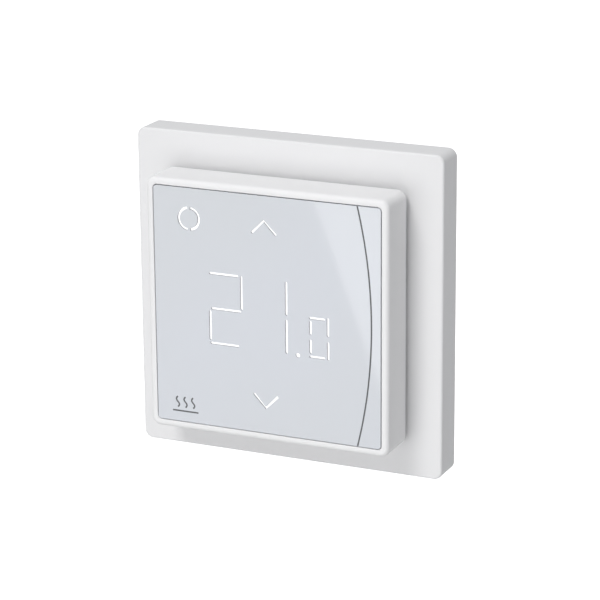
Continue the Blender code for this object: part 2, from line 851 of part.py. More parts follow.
def latch_hook():
    """The lip at the latch's tip, a wedge that is steep towards the room and sloped towards the wall."""
    top = LATCH_Z + LATCH_THICKNESS / 2
    outline = [
        (LATCH_TIP_OUT + 0.2 * MM, top - SEAT_GAP),
        (LATCH_TIP_OUT + 0.2 * MM, top),
        (LATCH_TIP_OUT + 1.4 * MM, top + LATCH_LIP),
        (LATCH_TIP_OUT + 2.0 * MM, top + LATCH_LIP),
        (LATCH_TIP_OUT + 2.0 * MM, top - SEAT_GAP),
    ]
    bm = bmesh.new()
    inset = 0.4 * MM
    left = -LATCH_WIDTH / 2 + inset
    face = bm.faces.new([bm.verts.new((left, -out, z)) for out, z in outline])
    swept = bmesh.ops.extrude_face_region(bm, geom=[face])["geom"]
    moved = [part for part in swept if isinstance(part, bmesh.types.BMVert)]
    bmesh.ops.translate(bm, vec=(LATCH_WIDTH - 2 * inset, 0, 0), verts=moved)
    bmesh.ops.recalc_face_normals(bm, faces=bm.faces)
    return link("latch_hook", mesh_from("latch_hook", bm), helper=True)


# ---- Design frame ---------------------------------------------------------------------------------------
def design_frame():
    frame = slab(
        "design_frame",
        FRAME_SIDE,
        FRAME_SIDE,
        0,
        FRAME_DEPTH,
        corner=FRAME_CORNER,
        edge=FRAME_EDGE,
    )
    hollow_side = FRAME_SIDE - 2 * FRAME_WALL
    face_rear = FRAME_DEPTH - FRAME_FACE
    hollow = slab(
        "frame_hollow",
        hollow_side,
        hollow_side,
        -SEAT_GAP,
        face_rear,
        corner=FRAME_CORNER - FRAME_WALL / 2,
        helper=True,
    )
    ring_side = PLATE_SIDE - 2 * SEAT_GAP
    ring_out = (flange_rear, FRAME_DEPTH - FRAME_FACE / 2)
    rest_ring = slab(
        "frame_rest_ring", ring_side, ring_side, *ring_out, corner=PLATE_CORNER / 2, helper=True
    )
    ring_inner = ring_side - 2 * REST_RING_WALL
    ring_hole = slab(
        "frame_ring_hole",
        ring_inner,
        ring_inner,
        -SEAT_GAP,
        face_rear,
        corner=PLATE_CORNER / 2 - REST_RING_WALL / 2,
        helper=True,
    )
    collar_side = frame_opening + 2 * COLLAR_WALL
    collar = slab(
        "frame_collar",
        collar_side,
        collar_side,
        *ring_out,
        corner=opening_corner + COLLAR_WALL / 2,
        helper=True,
    )
    opening = slab(
        "frame_opening",
        frame_opening,
        frame_opening,
        -SEAT_GAP,
        FRAME_DEPTH + SEAT_GAP,
        corner=opening_corner,
        helper=True,
    )
    cut(frame, hollow)
    join(frame, rest_ring)
    cut(frame, ring_hole)
    join(frame, collar)
    cut(frame, opening)
    return finish(frame, WHITE, 0.35)


# ---- Base -----------------------------------------------------------------------------------------------
def tub_outline(name, grow, out_from, out_to, helper=True):
    """The tub's outline, grown or shrunk all round, between two distances from the wall."""
    return slab(
        name,
        tub_width + 2 * grow,
        tub_top - tub_bottom + 2 * grow,
        out_from,
        out_to,
        at=(0, (tub_top + tub_bottom) / 2),
        corner=TUB_CORNER + grow,
        helper=helper,
    )


def base_screw_places():
    reach = cover_side / 2 - BASE_SCREW_INSET
    return [(sx * reach, sz * reach) for sx in (-1, 1) for sz in (-1, 1)]


def mounting_plate():
    plate = slab("mounting_plate", PLATE_SIDE, PLATE_SIDE, 0, PLATE_THICKNESS, corner=PLATE_CORNER)
    past = (-SEAT_GAP, PLATE_THICKNESS + SEAT_GAP)
    opening = tub_outline("plate_opening", SEAT_GAP, *past)
    half_spacing = BOX_SCREW_SPACING / 2
    slots = [
        slab(
            f"plate_slot_{number}",
            BOX_SLOT_WIDTH if sx else BOX_SLOT_LENGTH,
            BOX_SLOT_LENGTH if sx else BOX_SLOT_WIDTH,
            *past,
            at=(sx * half_spacing, sz * half_spacing),
            corner=0.98 * BOX_SLOT_WIDTH / 2,
            helper=True,
        )
        for number, (sx, sz) in enumerate([(-1, 0), (1, 0), (0, -1), (0, 1)])
    ]
    corner_reach = PLATE_SIDE / 2 - 4.5 * MM
    wall_holes = rods(
        "plate_wall_holes",
        [(sx * corner_reach, sz * corner_reach) for sx in (-1, 1) for sz in (-1, 1)],
        1.8 * MM,
        *past,
        steps=12,
    )
    hole_radius = BASE_SCREW_RADIUS + SEAM_GAP
    screw_holes = rods("plate_screw_holes", base_screw_places(), hole_radius, *past, steps=12)
    cut(plate, opening, *slots, wall_holes, screw_holes)
    return finish(plate, STEEL, 0.35, 1.0)


def rear_housing():
    tub = tub_outline("rear_housing", 0.0, -TUB_DEPTH, flange_front, helper=False)
    flange = slab(
        "tub_flange", cover_side, cover_side, flange_rear, flange_front, corner=TUB_CORNER / 2, helper=True
    )
    cavity = tub_outline("tub_cavity", -TUB_WALL, tub_floor, flange_front + SEAT_GAP)
    notch = boxes(
        "terminal_notch",
        [
            (
                (-terminal_block_width / 2 - SEAT_GAP, terminal_block_width / 2 + SEAT_GAP),
                (-TUB_DEPTH - SEAT_GAP, base_parts_front + SEAT_GAP),
                (tub_bottom - TUB_WALL, terminal_block_top + SEAT_GAP),
            )
        ],
    )
    screw_holes = rods(
        "flange_screw_holes",
        base_screw_places(),
        BASE_SCREW_RADIUS + SEAT_GAP,
        flange_rear - SEAT_GAP,
        flange_front + SEAT_GAP,
        steps=12,
    )
    # Posts in the upper corners carry the power board.
    post_x, post_z = tub_width / 2 - TUB_WALL / 2, tub_top - TUB_WALL / 2
    post_out = (tub_floor - SEAT_GAP, base_parts_front)
    post_sides = ((-post_x, TUB_POST - post_x), (post_x - TUB_POST, post_x))
    posts = boxes("tub_posts", [(x_range, post_out, (post_z - TUB_POST, post_z)) for x_range in post_sides])
    outside = tub_outline("tub_outside", 0.0, -TUB_DEPTH - SEAT_GAP, flange_front + 2 * SEAT_GAP)
    boolean(posts, outside, "INTERSECT")
    join(tub, flange)
    cut(tub, cavity, notch)
    join(tub, posts)
    cut(tub, screw_holes)
    return finish(tub, WHITE, 0.5)


def base_cover():
    cover = slab("base_cover", cover_side, cover_side, cover_rear, cover_front, corner=TUB_CORNER / 2)
    places = base_screw_places()
    past = (cover_rear - SEAT_GAP, cover_front + SEAT_GAP)
    recess_floor = cover_front - BASE_SCREW_HEAD_HEIGHT - SEAT_GAP
    holes = rods("cover_screw_holes", places, BASE_SCREW_RADIUS + SEAT_GAP, *past, steps=12)
    recess_out = (recess_floor, cover_front + SEAT_GAP)
    recesses = rods("cover_screw_recesses", places, BASE_SCREW_HEAD_RADIUS + SEAT_GAP, *recess_out)
    pin_window = slab(
        "cover_pin_window", header_width, header_height, *past, at=HEADER_AT, helper=True
    )
    tongue_slots = boxes("cover_tongue_slots", tongue_ranges(SEAT_GAP, past))
    latch_window = boxes("cover_latch_window", [latch_window_range(cover_rear, cover_front)])
    cut(cover, holes, recesses, pin_window, tongue_slots, latch_window)
    return finish(cover, PALE_GREY, 0.5)


def base_screw(number, place):
    head_top = cover_front - SEAT_GAP / 2
    head_bottom = head_top - BASE_SCREW_HEAD_HEIGHT
    length = head_top - SEAT_GAP
    head = head_top - head_bottom
    profile = [
        (0, length),
        (BASE_SCREW_HEAD_RADIUS - 0.3 * MM, length),
        (BASE_SCREW_HEAD_RADIUS, length - 0.4 * MM),
        (BASE_SCREW_HEAD_RADIUS, length - head),
        (BASE_SCREW_RADIUS, length - head),
        (BASE_SCREW_RADIUS, 0.5 * MM),
        (BASE_SCREW_RADIUS / 2, 0),
        (0, 0),
    ]
    screw = as_mesh(turned(f"base_screw_{number}", profile, SEAT_GAP, at=place, steps=12))
    slot = 0.5 * MM
    arm = 1.3 * MM
    depth = (head_top - 0.7 * MM, head_top + SEAT_GAP)
    x, z = place
    level = boxes("cross_slot_level", [((x - arm, x + arm), depth, (z - slot / 2, z + slot / 2))])
    upright = boxes("cross_slot_upright", [((x - slot / 2, x + slot / 2), depth, (z - arm, z + arm))])
    cut(screw, level, upright)
    return finish(screw, STEEL, 0.3, 1.0)


def power_board():
    board = tub_outline(
        "power_board", -TUB_WALL - SEAT_GAP, power_board_rear, POWER_BOARD_FRONT, helper=False
    )
    return finish(board, BOARD_GREEN, 0.4)


def header_pins():
    base_rear = POWER_BOARD_FRONT + SEAT_GAP
    margin = 2 * SEAT_GAP
    base = slab(
        "header_pins",
        header_width - margin,
        header_height - margin,
        base_rear,
        base_rear + HEADER_BASE_HEIGHT,
        at=HEADER_AT,
    )
    pins = square_rods("header_pin_rods", PIN_SIDE, base_rear + SEAT_GAP, pin_tip)
    join(base, pins)
    return finish(base, BRASS, 0.3, 1.0)


def terminal_places():
    return [(number - (TERMINALS - 1) / 2) * TERMINAL_PITCH for number in range(TERMINALS)]


def terminal_block():
    block = slab(
        "terminal_block",
        terminal_block_width,
        terminal_block_top - tub_bottom,
        -TUB_DEPTH,
        base_parts_front,
        at=(0, (terminal_block_top + tub_bottom) / 2),
    )
    half_cell, half_entry = cell_width / 2, WIRE_ENTRY / 2
    places = terminal_places()
    cell_out = (cell_rear, base_parts_front + SEAT_GAP)
    cells = boxes(
        "terminal_cells",
        [((x - half_cell, x + half_cell), cell_out, (cell_bottom, cell_top)) for x in places],
    )
    entry_out = (tab_front + SEAT_GAP, tab_front + SEAT_GAP + WIRE_ENTRY)
    entry_z = (tub_bottom - SEAT_GAP, cell_bottom + SEAT_GAP)
    entries = boxes(
        "wire_entries", [((x - half_entry, x + half_entry), entry_out, entry_z) for x in places]
    )
    centres = [(x, cage_middle) for x in places]
    head_floor = -TUB_DEPTH + TERMINAL_HEAD_HEIGHT + 3 * SEAT_GAP
    wells = rods(
        "screw_wells", centres, TERMINAL_HEAD_RADIUS + SEAM_GAP, -TUB_DEPTH - SEAT_GAP, head_floor
    )
    shanks = rods(
        "screw_shank_holes",
        centres,
        TERMINAL_SCREW_RADIUS + SEAM_GAP,
        head_floor - SEAT_GAP,
        cell_rear + SEAT_GAP,
        steps=12,
    )
    cut(block, cells, entries, wells, shanks)
    return finish(block, BLACK, 0.5)


def terminal_screw(number, x):
    """A captive screw that turns in place, so that the cage climbs along it. Its head faces the wall box."""
    head_out = -TUB_DEPTH + 2 * SEAT_GAP
    tip = tab_rear - SEAT_GAP
    length = tip - head_out
    profile = [
        (0, length),
        (TERMINAL_SCREW_RADIUS, length),
        (TERMINAL_SCREW_RADIUS, TERMINAL_HEAD_HEIGHT),
        (TERMINAL_HEAD_RADIUS, TERMINAL_HEAD_HEIGHT),
        (TERMINAL_HEAD_RADIUS, 0.3 * MM),
        (TERMINAL_HEAD_RADIUS - 0.3 * MM, 0),
        (0, 0),
    ]
    screw = as_mesh(turned(f"terminal_screw_{number}", profile, head_out, at=(x, cage_middle), steps=12))
    half_slot = 0.3 * MM
    slot = boxes(
        f"terminal_screw_{number}_slot",
        [
            (
                (x - TERMINAL_HEAD_RADIUS - SEAT_GAP, x + TERMINAL_HEAD_RADIUS + SEAT_GAP),
                (head_out - SEAT_GAP, head_out + 0.9 * MM),
                (cage_middle - half_slot, cage_middle + half_slot),
            )
        ],
    )
    cut(screw, slot)
    return finish(screw, STEEL, 0.3, 1.0)


def terminal_cage(number, x):
    """A clamp cage: a square loop that is open up and down for the wire, with a hole for its screw."""
    cage = slab(
        f"terminal_cage_{number}",
        cage_width,
        CAGE_HEIGHT,
        cage_rear,
        cage_rear + cage_length,
        at=(x, cage_middle),
    )
    inner_half = cage_width / 2 - CAGE_SIDE_WALL
    inside_rear = cage_rear + CAGE_REAR_WALL
    inside = boxes(
        f"cage_{number}_inside",
        [
            (
                (x - inner_half, x + inner_half),
                (inside_rear, inside_rear + cage_inner_length),
                (cage_bottom - SEAT_GAP, cage_bottom + CAGE_HEIGHT + SEAT_GAP),
            )
        ],
    )
    hole = rods(
        f"cage_{number}_hole",
        [(x, cage_middle)],
        TERMINAL_SCREW_RADIUS + SEAM_GAP,
        cage_rear - SEAT_GAP,
        inside_rear + SEAT_GAP,
        steps=12,
    )
    cut(cage, inside, hole)
    return finish(cage, STEEL, 0.3, 1.0)


def terminal_tab(number, x):
    """The fixed contact in a clamp: an upright strip in the loop, and a leg to the power board."""
    half = cage_width / 2 - CAGE_SIDE_WALL - SEAT_GAP
    tab = boxes(
        f"terminal_tab_{number}",
        [((x - half, x + half), (tab_rear, tab_front), (cage_bottom, tab_top))],
        helper=False,
    )
    leg = boxes(
        f"tab_leg_{number}",
        [((x - half, x + half), (tab_rear, base_parts_front), (tab_top - TAB_THICKNESS, tab_top))],
    )
    join(tab, leg)
    return finish(tab, BRASS, 0.3, 1.0)


# ---- Relay on the power board -----------------------------------------------------------------------------
relay_front = base_parts_front
relay_rear = tub_floor + RELAY_FLOOR_GAP
relay_base_rear = relay_front - RELAY_WALL - RELAY_SHEET
coil_front = relay_base_rear - SEAT_GAP - RELAY_SHEET - SEAT_GAP
armature_rear = relay_rear + RELAY_WALL + 1.6 * MM
armature_front = armature_rear + RELAY_SHEET
core_rear = armature_front + ARMATURE_GAP
coil_rear = core_rear + 0.4 * MM
yoke_x = RELAY_AT[0] - RELAY_LENGTH / 2 + RELAY_WALL + 2 * SEAT_GAP
contact_x = RELAY_AT[0] + RELAY_LENGTH / 2 - 4.0 * MM
contact_rear = armature_front + CONTACT_GAP
armature_hinge = (yoke_x + RELAY_SHEET / 2, armature_front, RELAY_AT[1])


def relay_base():
    grip = 2 * (RELAY_WALL + SEAT_GAP)
    base = slab(
        "relay_base", RELAY_LENGTH - grip, RELAY_WIDTH - grip, relay_base_rear, relay_front, at=RELAY_AT
    )
    return finish(base, BLACK, 0.5)


def relay_case():
    case = slab(
        "relay_case",
        RELAY_LENGTH,
        RELAY_WIDTH,
        relay_rear,
        relay_front,
        at=RELAY_AT,
        corner=0.8 * MM,
    )
    inside = slab(
        "relay_case_inside",
        RELAY_LENGTH - 2 * RELAY_WALL,
        RELAY_WIDTH - 2 * RELAY_WALL,
        relay_rear + RELAY_WALL,
        relay_front + SEAT_GAP,
        at=RELAY_AT,
        helper=True,
    )
    cut(case, inside)
    return finish(case, BLUE, 0.35)


def relay_coil():
    height = coil_front - coil_rear
    flange, hub = 0.8 * MM, COIL_CORE_RADIUS + SEAT_GAP
    wound = COIL_RADIUS - 0.5 * MM
    profile = [
        (hub, height),
        (COIL_RADIUS, height),
        (COIL_RADIUS, height - flange),
        (wound, height - flange),
        (wound, flange),
        (COIL_RADIUS, flange),
        (COIL_RADIUS, 0),
        (hub, 0),
    ]
    coil = turned("relay_coil", profile, coil_rear, at=(COIL_X, RELAY_AT[1]), ring=True)
    return finish(coil, COPPER, 0.4, 0.6)


def relay_yoke():
    """An L of sheet iron round the coil, with the core riveted into its foot."""
    half = RELAY_WIDTH / 2 - RELAY_WALL - 4 * SEAT_GAP
    z0, z1 = RELAY_AT[1] - half, RELAY_AT[1] + half
    foot_front = relay_base_rear - SEAT_GAP
    foot_rear = foot_front - RELAY_SHEET
    yoke = boxes(
        "relay_yoke",
        [((yoke_x, COIL_X + COIL_RADIUS), (foot_rear, foot_front), (z0, z1))],
        helper=False,
    )
    leg = boxes(
        "yoke_leg",
        [((yoke_x, yoke_x + RELAY_SHEET), (armature_front + SEAT_GAP, foot_front), (z0, z1))],
    )
    core_out = (core_rear, foot_front - RELAY_SHEET / 2)
    core = rods("yoke_core", [(COIL_X, RELAY_AT[1])], COIL_CORE_RADIUS, *core_out, steps=12)
    join(yoke, leg, core)
    return finish(yoke, STEEL, 0.4, 1.0)


def relay_armature():
    """A flat iron plate that rocks on the yoke's leg and is pulled down onto the core."""
    half = RELAY_WIDTH / 2 - RELAY_WALL - 5 * SEAT_GAP
    plate = boxes(
        "relay_armature",
        [
            (
                (yoke_x, COIL_X + COIL_RADIUS),
                (armature_rear, armature_front),
                (RELAY_AT[1] - half, RELAY_AT[1] + half),
            )
        ],
        helper=False,
    )
    plate = finish(plate, STEEL, 0.4, 1.0)
    move_origin(plate, *armature_hinge)
    return plate


def relay_contact_spring():
    """The moving contact: a strip riveted behind the armature, with a round contact at its free end."""
    strip_front = armature_rear - SEAT_GAP
    strip_rear = strip_front - CONTACT_SHEET
    half = CONTACT_STRIP_HALF
    z = RELAY_AT[1]
    strip = boxes(
        "relay_contact_spring",
        [((COIL_X, contact_x + half), (strip_rear, strip_front), (z - half, z + half))],
        helper=False,
    )
    contact_out = (strip_rear + CONTACT_SHEET / 2, armature_front)
    contact = rods("moving_contact", [(contact_x, z)], CONTACT_RADIUS, *contact_out, steps=12)
    join(strip, contact)
    strip = finish(strip, COPPER, 0.3, 1.0)
    move_origin(strip, *armature_hinge)
    return strip


def relay_fixed_contact():
    """The fixed contact on its post, which stands on the relay's base."""
    half = CONTACT_STRIP_HALF
    x0, x1 = contact_x - half, contact_x + half
    z0, z1 = RELAY_AT[1] - half, RELAY_AT[1] + half
    plate_rear = contact_rear + 0.6 * MM
    plate = boxes(
        "relay_fixed_contact", [((x0, x1), (plate_rear, plate_rear + RELAY_SHEET), (z0, z1))], helper=False
    )
    post = boxes(
        "fixed_contact_post",
        [((x1 - RELAY_SHEET, x1), (plate_rear, relay_base_rear - SEAT_GAP), (z0, z1))],
    )
    contact_out = (contact_rear, plate_rear + RELAY_SHEET / 2)
    contact = rods("fixed_contact", [(contact_x, RELAY_AT[1])], CONTACT_RADIUS, *contact_out, steps=12)
    join(plate, post, contact)
    return finish(plate, COPPER, 0.3, 1.0)


# ---- Other parts on the power board -----------------------------------------------------------------
def mains_capacitor():
    capacitor = slab(
        "mains_capacitor",
        17.0 * MM,
        7.0 * MM,
        base_parts_front - 12.0 * MM,
        base_parts_front,
        at=(-11.8 * MM, -4.2 * MM),
        corner=0.8 * MM,
    )
    return finish(capacitor, YELLOW, 0.4)


def storage_capacitor():
    radius, height, rim = 4.0 * MM, 12.0 * MM, 0.5 * MM
    profile = [
        (0, height),
        (radius, height),
        (radius, rim),
        (radius - rim, 0),
        (0, 0),
    ]
    obj = turned("storage_capacitor", profile, base_parts_front - height, at=(2.0 * MM, -3.2 * MM))
    return finish(obj, BLACK, 0.35)


def varistor():
    radius, thickness, lead = 4.0 * MM, 3.4 * MM, 0.6 * MM
    centre_x, centre_z = 9.2 * MM, -3.4 * MM
    centre_out = base_parts_front - radius - 1.5 * MM
    bm = bmesh.new()
    place = Matrix.Translation((centre_x, -centre_out, centre_z)) @ Matrix.Rotation(math.pi / 2, 4, "Y")
    bmesh.ops.create_cone(
        bm,
        cap_ends=True,
        segments=ROUND_STEPS,
        radius1=radius,
        radius2=radius,
        depth=thickness,
        matrix=place,
    )
    disc = link("varistor", mesh_from("varistor", bm))
    leads = boxes(
        "varistor_leads",
        [
            (
                (centre_x - lead / 2, centre_x + lead / 2),
                (centre_out, base_parts_front),
                (centre_z + side * 2.5 * MM - lead / 2, centre_z + side * 2.5 * MM + lead / 2),
            )
            for side in (-1, 1)
        ],
    )
    join(disc, leads)
    return finish(disc, BLUE, 0.4)


def power_inductor():
    radius, neck, flange, height = 4.0 * MM, 3.2 * MM, 1.2 * MM, 8.0 * MM
    profile = [
        (0, height),
        (radius, height),
        (radius, height - flange),
        (neck, height - flange),
        (neck, flange),
        (radius, flange),
        (radius, 0),
        (0, 0),
    ]
    obj = turned("power_inductor", profile, base_parts_front - height, at=(16.4 * MM, -3.4 * MM))
    return finish(obj, BLACK, 0.6)


def fuse():
    radius, length = 1.4 * MM, 9.0 * MM
    at = (-11.8 * MM, 2.4 * MM)
    out = base_parts_front - radius
    bm = bmesh.new()
    place = Matrix.Translation((at[0], -out, at[1])) @ Matrix.Rotation(math.pi / 2, 4, "Y")
    bmesh.ops.create_cone(
        bm, cap_ends=True, segments=12, radius1=radius, radius2=radius, depth=length, matrix=place
    )
    return finish(link("fuse", mesh_from("fuse", bm)), PALE_GREY, 0.2)


def build():
    front_housing()
    touch_lens()
    lens_tape()
    light_mask()
    display_board()
    for name, digit in DIGITS.items():
        digit_block(name, digit)
    for key in TOUCH_KEYS:
        touch_spring(f"touch_spring_{key}", key)
    room_sensor()
    radio_module()
    controller_chip()
    backup_capacitor()
    board_socket()
    display_back_cover()
    release_latch()
    design_frame()
    mounting_plate()
    rear_housing()
    base_cover()
    for number, place in enumerate(base_screw_places(), 1):
        base_screw(number, place)
    power_board()
    header_pins()
    terminal_block()
    for number, x in enumerate(terminal_places(), 1):
        terminal_screw(number, x)
        terminal_cage(number, x)
        terminal_tab(number, x)
    relay_base()
    relay_case()
    relay_coil()
    relay_yoke()
    relay_armature()
    relay_contact_spring()
    relay_fixed_contact()
    mains_capacitor()
    storage_capacitor()
    varistor()
    power_inductor()
    fuse()


def remove_cutters():
    for cutter in list(CUTTERS.objects):
        bpy.data.objects.remove(cutter, do_unlink=True)
    bpy.data.collections.remove(CUTTERS)


build()
remove_cutters()
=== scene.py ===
"""Wall thermostat: the finished look of every piece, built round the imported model.

Laid out as a Blender add-on. Sizes are in metres, +Z is up, +X is to the right and -Y faces the room. A
distance called "out" is measured from the wall's surface towards the room, so y = -out.
"""

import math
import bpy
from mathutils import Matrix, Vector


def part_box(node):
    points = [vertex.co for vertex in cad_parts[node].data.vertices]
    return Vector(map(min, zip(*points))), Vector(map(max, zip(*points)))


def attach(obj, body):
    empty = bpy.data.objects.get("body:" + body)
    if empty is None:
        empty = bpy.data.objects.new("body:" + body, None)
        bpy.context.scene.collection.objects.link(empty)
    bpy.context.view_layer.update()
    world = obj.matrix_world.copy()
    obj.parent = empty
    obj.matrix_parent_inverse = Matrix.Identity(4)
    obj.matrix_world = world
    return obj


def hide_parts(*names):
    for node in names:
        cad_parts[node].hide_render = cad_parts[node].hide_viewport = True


bl_info = {
    "name": "Wall Thermostat",
    "version": (1, 0, 0),
    "blender": (4, 5, 0),
    "location": "View3D > Sidebar > Thermostat",
    "description": "Builds a flush wall thermostat with a lit touch display round its packed frame",
    "category": "Add Mesh",
}

import bmesh
import bpy
from mathutils import Matrix, Vector

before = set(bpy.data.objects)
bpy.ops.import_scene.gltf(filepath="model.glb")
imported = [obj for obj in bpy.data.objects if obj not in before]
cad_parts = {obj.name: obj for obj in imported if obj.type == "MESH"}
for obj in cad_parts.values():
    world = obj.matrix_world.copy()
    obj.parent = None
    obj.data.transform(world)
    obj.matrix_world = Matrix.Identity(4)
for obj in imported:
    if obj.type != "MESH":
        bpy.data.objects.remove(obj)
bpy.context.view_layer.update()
MM = 0.001

DISPLAY_BODY = "front_cover"
FRAME_BODY = "design_frame"
BASE_BODY = "base"
LATCH_BODY = "release_latch"

CORNER_STEPS = 10
EDGE_STEPS = 7
ROUND_STEPS = 20
BEVEL_ANGLE = 35
SEAM = 0.21 * MM
LENS_CORNER = 0.9 * MM


def extent(node):
    """A CAD node's lowest and highest x, its nearest and farthest out, and its lowest and highest z."""
    low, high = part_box(node)
    return low.x, high.x, -high.y, -low.y, low.z, high.z


FRAME_BOX = extent("design_frame")
HOUSING_BOX = extent("front_housing")
LENS_BOX = extent("touch_lens")
LENS_OUT = LENS_BOX[3]


# ---- Settings ----
def amount(name, description, default, **options):
    return bpy.props.FloatProperty(name=name, description=description, default=default, min=0, **options)


def length(name, description, default):
    return amount(name, description, default, unit="LENGTH", subtype="DISTANCE", precision=5)


def degrees(name, description, default):
    return bpy.props.FloatProperty(
        name=name, description=description, default=math.radians(default), subtype="ANGLE"
    )


def colour(name, description, default):
    return bpy.props.FloatVectorProperty(
        name=name, description=description, default=default, size=3, subtype="COLOR", min=0, max=1
    )


class ShellSettings(bpy.types.PropertyGroup):
    """The white shells that face the room."""

    frame_corner: length("Frame corner", "Radius of the frame's four corners", 2.3 * MM)
    frame_edge: length("Frame edge", "Rounding of the frame's front edge", 0.62 * MM)
    housing_corner: length("Housing corner", "Radius of the display housing's corners", 2.4 * MM)
    housing_edge: length("Housing edge", "Rounding of the display housing's front edge", 1.15 * MM)
    frame_colour: colour("Frame", "Colour of the frame's white plastic", (0.835, 0.833, 0.837))
    housing_colour: colour("Housing", "Colour of the display housing's white plastic", (0.885, 0.882, 0.885))


class DisplaySettings(bpy.types.PropertyGroup):
    """The lens and the marks that shine through it."""

    lens_play: length("Lens play", "How far each side of the lens lies inside its CAD node", 0.13 * MM)
    mark_width: length("Mark width", "Width of a lit bar's opening", 0.66 * MM)
    mark_depth: length("Mark depth", "How far a lit bar lies behind the lens's surface", 0.48 * MM)
    line_width: length("Line width", "Width of the curved line", 0.40 * MM)
    line_bulge: length("Line bulge", "How far the curved line bulges to the right", 3.85 * MM)
    line_middle: length("Line middle", "Where the curved line's middle lies", 28.9 * MM)
    print_colour: colour("Lens print", "Colour printed behind the lens", (0.715, 0.738, 0.766))
    # On the curved line this colour is painted shade, standing in for the dark of a parting line; on the
    # heating sign it is print.
    line_shade_and_sign_colour: colour("Line", "Colour of the curved line and of the heating sign", (0.13, 0.135, 0.14))
    light_colour: colour("Light", "Colour of the lit marks", (1.0, 1.0, 1.0))
    light_strength: amount("Light strength", "Brightness of the lit marks", 0.95)


class BaseSettings(bpy.types.PropertyGroup):
    """The mains base behind the frame."""

    edge: length("Edge", "Rounding of the small parts' edges", 0.18 * MM)
    housing_colour: colour("Rear box", "Colour of the rear box's plastic", (0.74, 0.745, 0.75))
    cover_colour: colour("Covers", "Colour of the inner covers", (0.42, 0.44, 0.46))
    board_colour: colour("Boards", "Colour of the boards' solder mask", (0.02, 0.13, 0.05))


class StageSettings(bpy.types.PropertyGroup):
    """Camera, floor and lights."""

    azimuth: degrees("Azimuth", "How far the camera stands to the right of the display's front", 24.411)
    elevation: degrees("Elevation", "How far the camera looks down", 16.726)
    roll: degrees("Roll", "The camera's tilt", -0.456)
    distance: length("Distance", "From the camera to the middle of the thermostat", 687.8 * MM)
    aim_right: length("Aim right", "How far the view's middle lies left of the origin", 0.73 * MM)
    aim_up: length("Aim up", "How far the view's middle lies below the origin", 1.82 * MM)
    front_fill: amount("Front fill", "Brightness of the studio in front of the wall", 0.50)
    rear_fill: amount("Rear fill", "Brightness of the studio behind the wall", 0.50)
    lens: amount("Lens", "Focal length on a 36 mm sensor", 158.38, unit="CAMERA")


# ---- Mesh helpers ----
def link(name, mesh):
    piece = bpy.data.objects.new(name, mesh)
    bpy.context.scene.collection.objects.link(piece)
    return piece


def mesh_from(name, bm, recalculate=True):
    if recalculate:
        bmesh.ops.recalc_face_normals(bm, faces=bm.faces)
    mesh = bpy.data.meshes.new(name)
    bm.to_mesh(mesh)
    bm.free()
    return mesh


def made(name, fill):
    """A new piece. fill is a function that adds its faces to an empty mesh."""
    bm = bmesh.new()
    fill(bm)
    return link(name, mesh_from(name, bm))


def baked(piece):
    """Applies every modifier of a piece and leaves a plain mesh at the origin."""
    bpy.context.view_layer.update()
    graph = bpy.context.evaluated_depsgraph_get()
    mesh = bpy.data.meshes.new_from_object(piece.evaluated_get(graph), depsgraph=graph)
    mesh.transform(piece.matrix_world)
    piece.modifiers.clear()
    piece.data = mesh
    piece.matrix_world = Matrix.Identity(4)
    return piece


def smooth(piece, angle=40):
    """Smooth shading that keeps flat faces flat."""
    piece.data.shade_smooth()
    piece.data.set_sharp_from_angle(angle=math.radians(angle))
    weighted = piece.modifiers.new("Weighted Normal", "WEIGHTED_NORMAL")
    weighted.keep_sharp = True
    weighted.weight = 100
    return baked(piece)


def rounded_square(half_x, half_z, radius, steps=CORNER_STEPS):
    """Points round a rectangle with round corners, as (x, z) pairs."""
    points = []
    for sign_x, sign_z, turn in ((1, 1, 0), (-1, 1, 90), (-1, -1, 180), (1, -1, 270)):
        for step in range(steps + 1):
            angle = math.radians(turn + 90 * step / steps)
            points.append(
                (
                    sign_x * (half_x - radius) + radius * math.cos(angle),
                    sign_z * (half_z - radius) + radius * math.sin(angle),
                )
            )
    return points


def edge_arc(half, corner, out, radius, steps=EDGE_STEPS):
    """Rings round an outer edge, from its side to its front."""
    rings = []
    for step in range(steps + 1):
        angle = math.radians(90 * step / steps)
        inset = radius * (1 - math.cos(angle))
        rings.append((half - inset, max(corner - inset, 0.05 * MM), out - radius * (1 - math.sin(angle))))
    return rings


def skin(bm, loops, closed=False):
    """Joins each loop of points to the next. Where closed, the last loop joins the first, and otherwise both
    ends get a flat face."""
    pairs = list(zip(loops, loops[1:]))
    if closed:
        pairs.append((loops[-1], loops[0]))
    for first, second in pairs:
        for index in range(len(first)):
            after = (index + 1) % len(first)
            bm.faces.new((first[index], first[after], second[after], second[index]))
    if not closed:
        bm.faces.new(loops[0])
        bm.faces.new(loops[-1])


def flat_loop(bm, out, outline):
    """Adds (x, z) points at one distance out."""
    return [bm.verts.new((x, -out, z)) for x, z in outline]


def ring_solid(name, rings, closed):
    """A solid whose skin runs through rounded squares. Each ring is (half width, corner radius, out)."""
    outlines = [(out, rounded_square(half, half, corner)) for half, corner, out in rings]
    return made(name, lambda bm: skin(bm, [flat_loop(bm, *outline) for outline in outlines], closed))


def swept_bar(bm, start, end, width, out_from, out_to):
    """A straight bar with pointed ends between two (x, z) points."""
    first, last = Vector(start), Vector(end)
    along = (last - first).normalized()
    across = Vector((-along.y, along.x)) * (width / 2)
    inset = along * (width * 0.42)
    outline = [
        first,
        first + inset - across,
        last - inset - across,
        last,
        last - inset + across,
        first + inset + across,
    ]
    extrude_outline(bm, outline, out_from, out_to)


def extrude_outline(bm, outline, out_from, out_to):
    """Adds a straight solid over an outline of (x, z) points."""
    skin(bm, [flat_loop(bm, out, outline) for out in (out_from, out_to)])


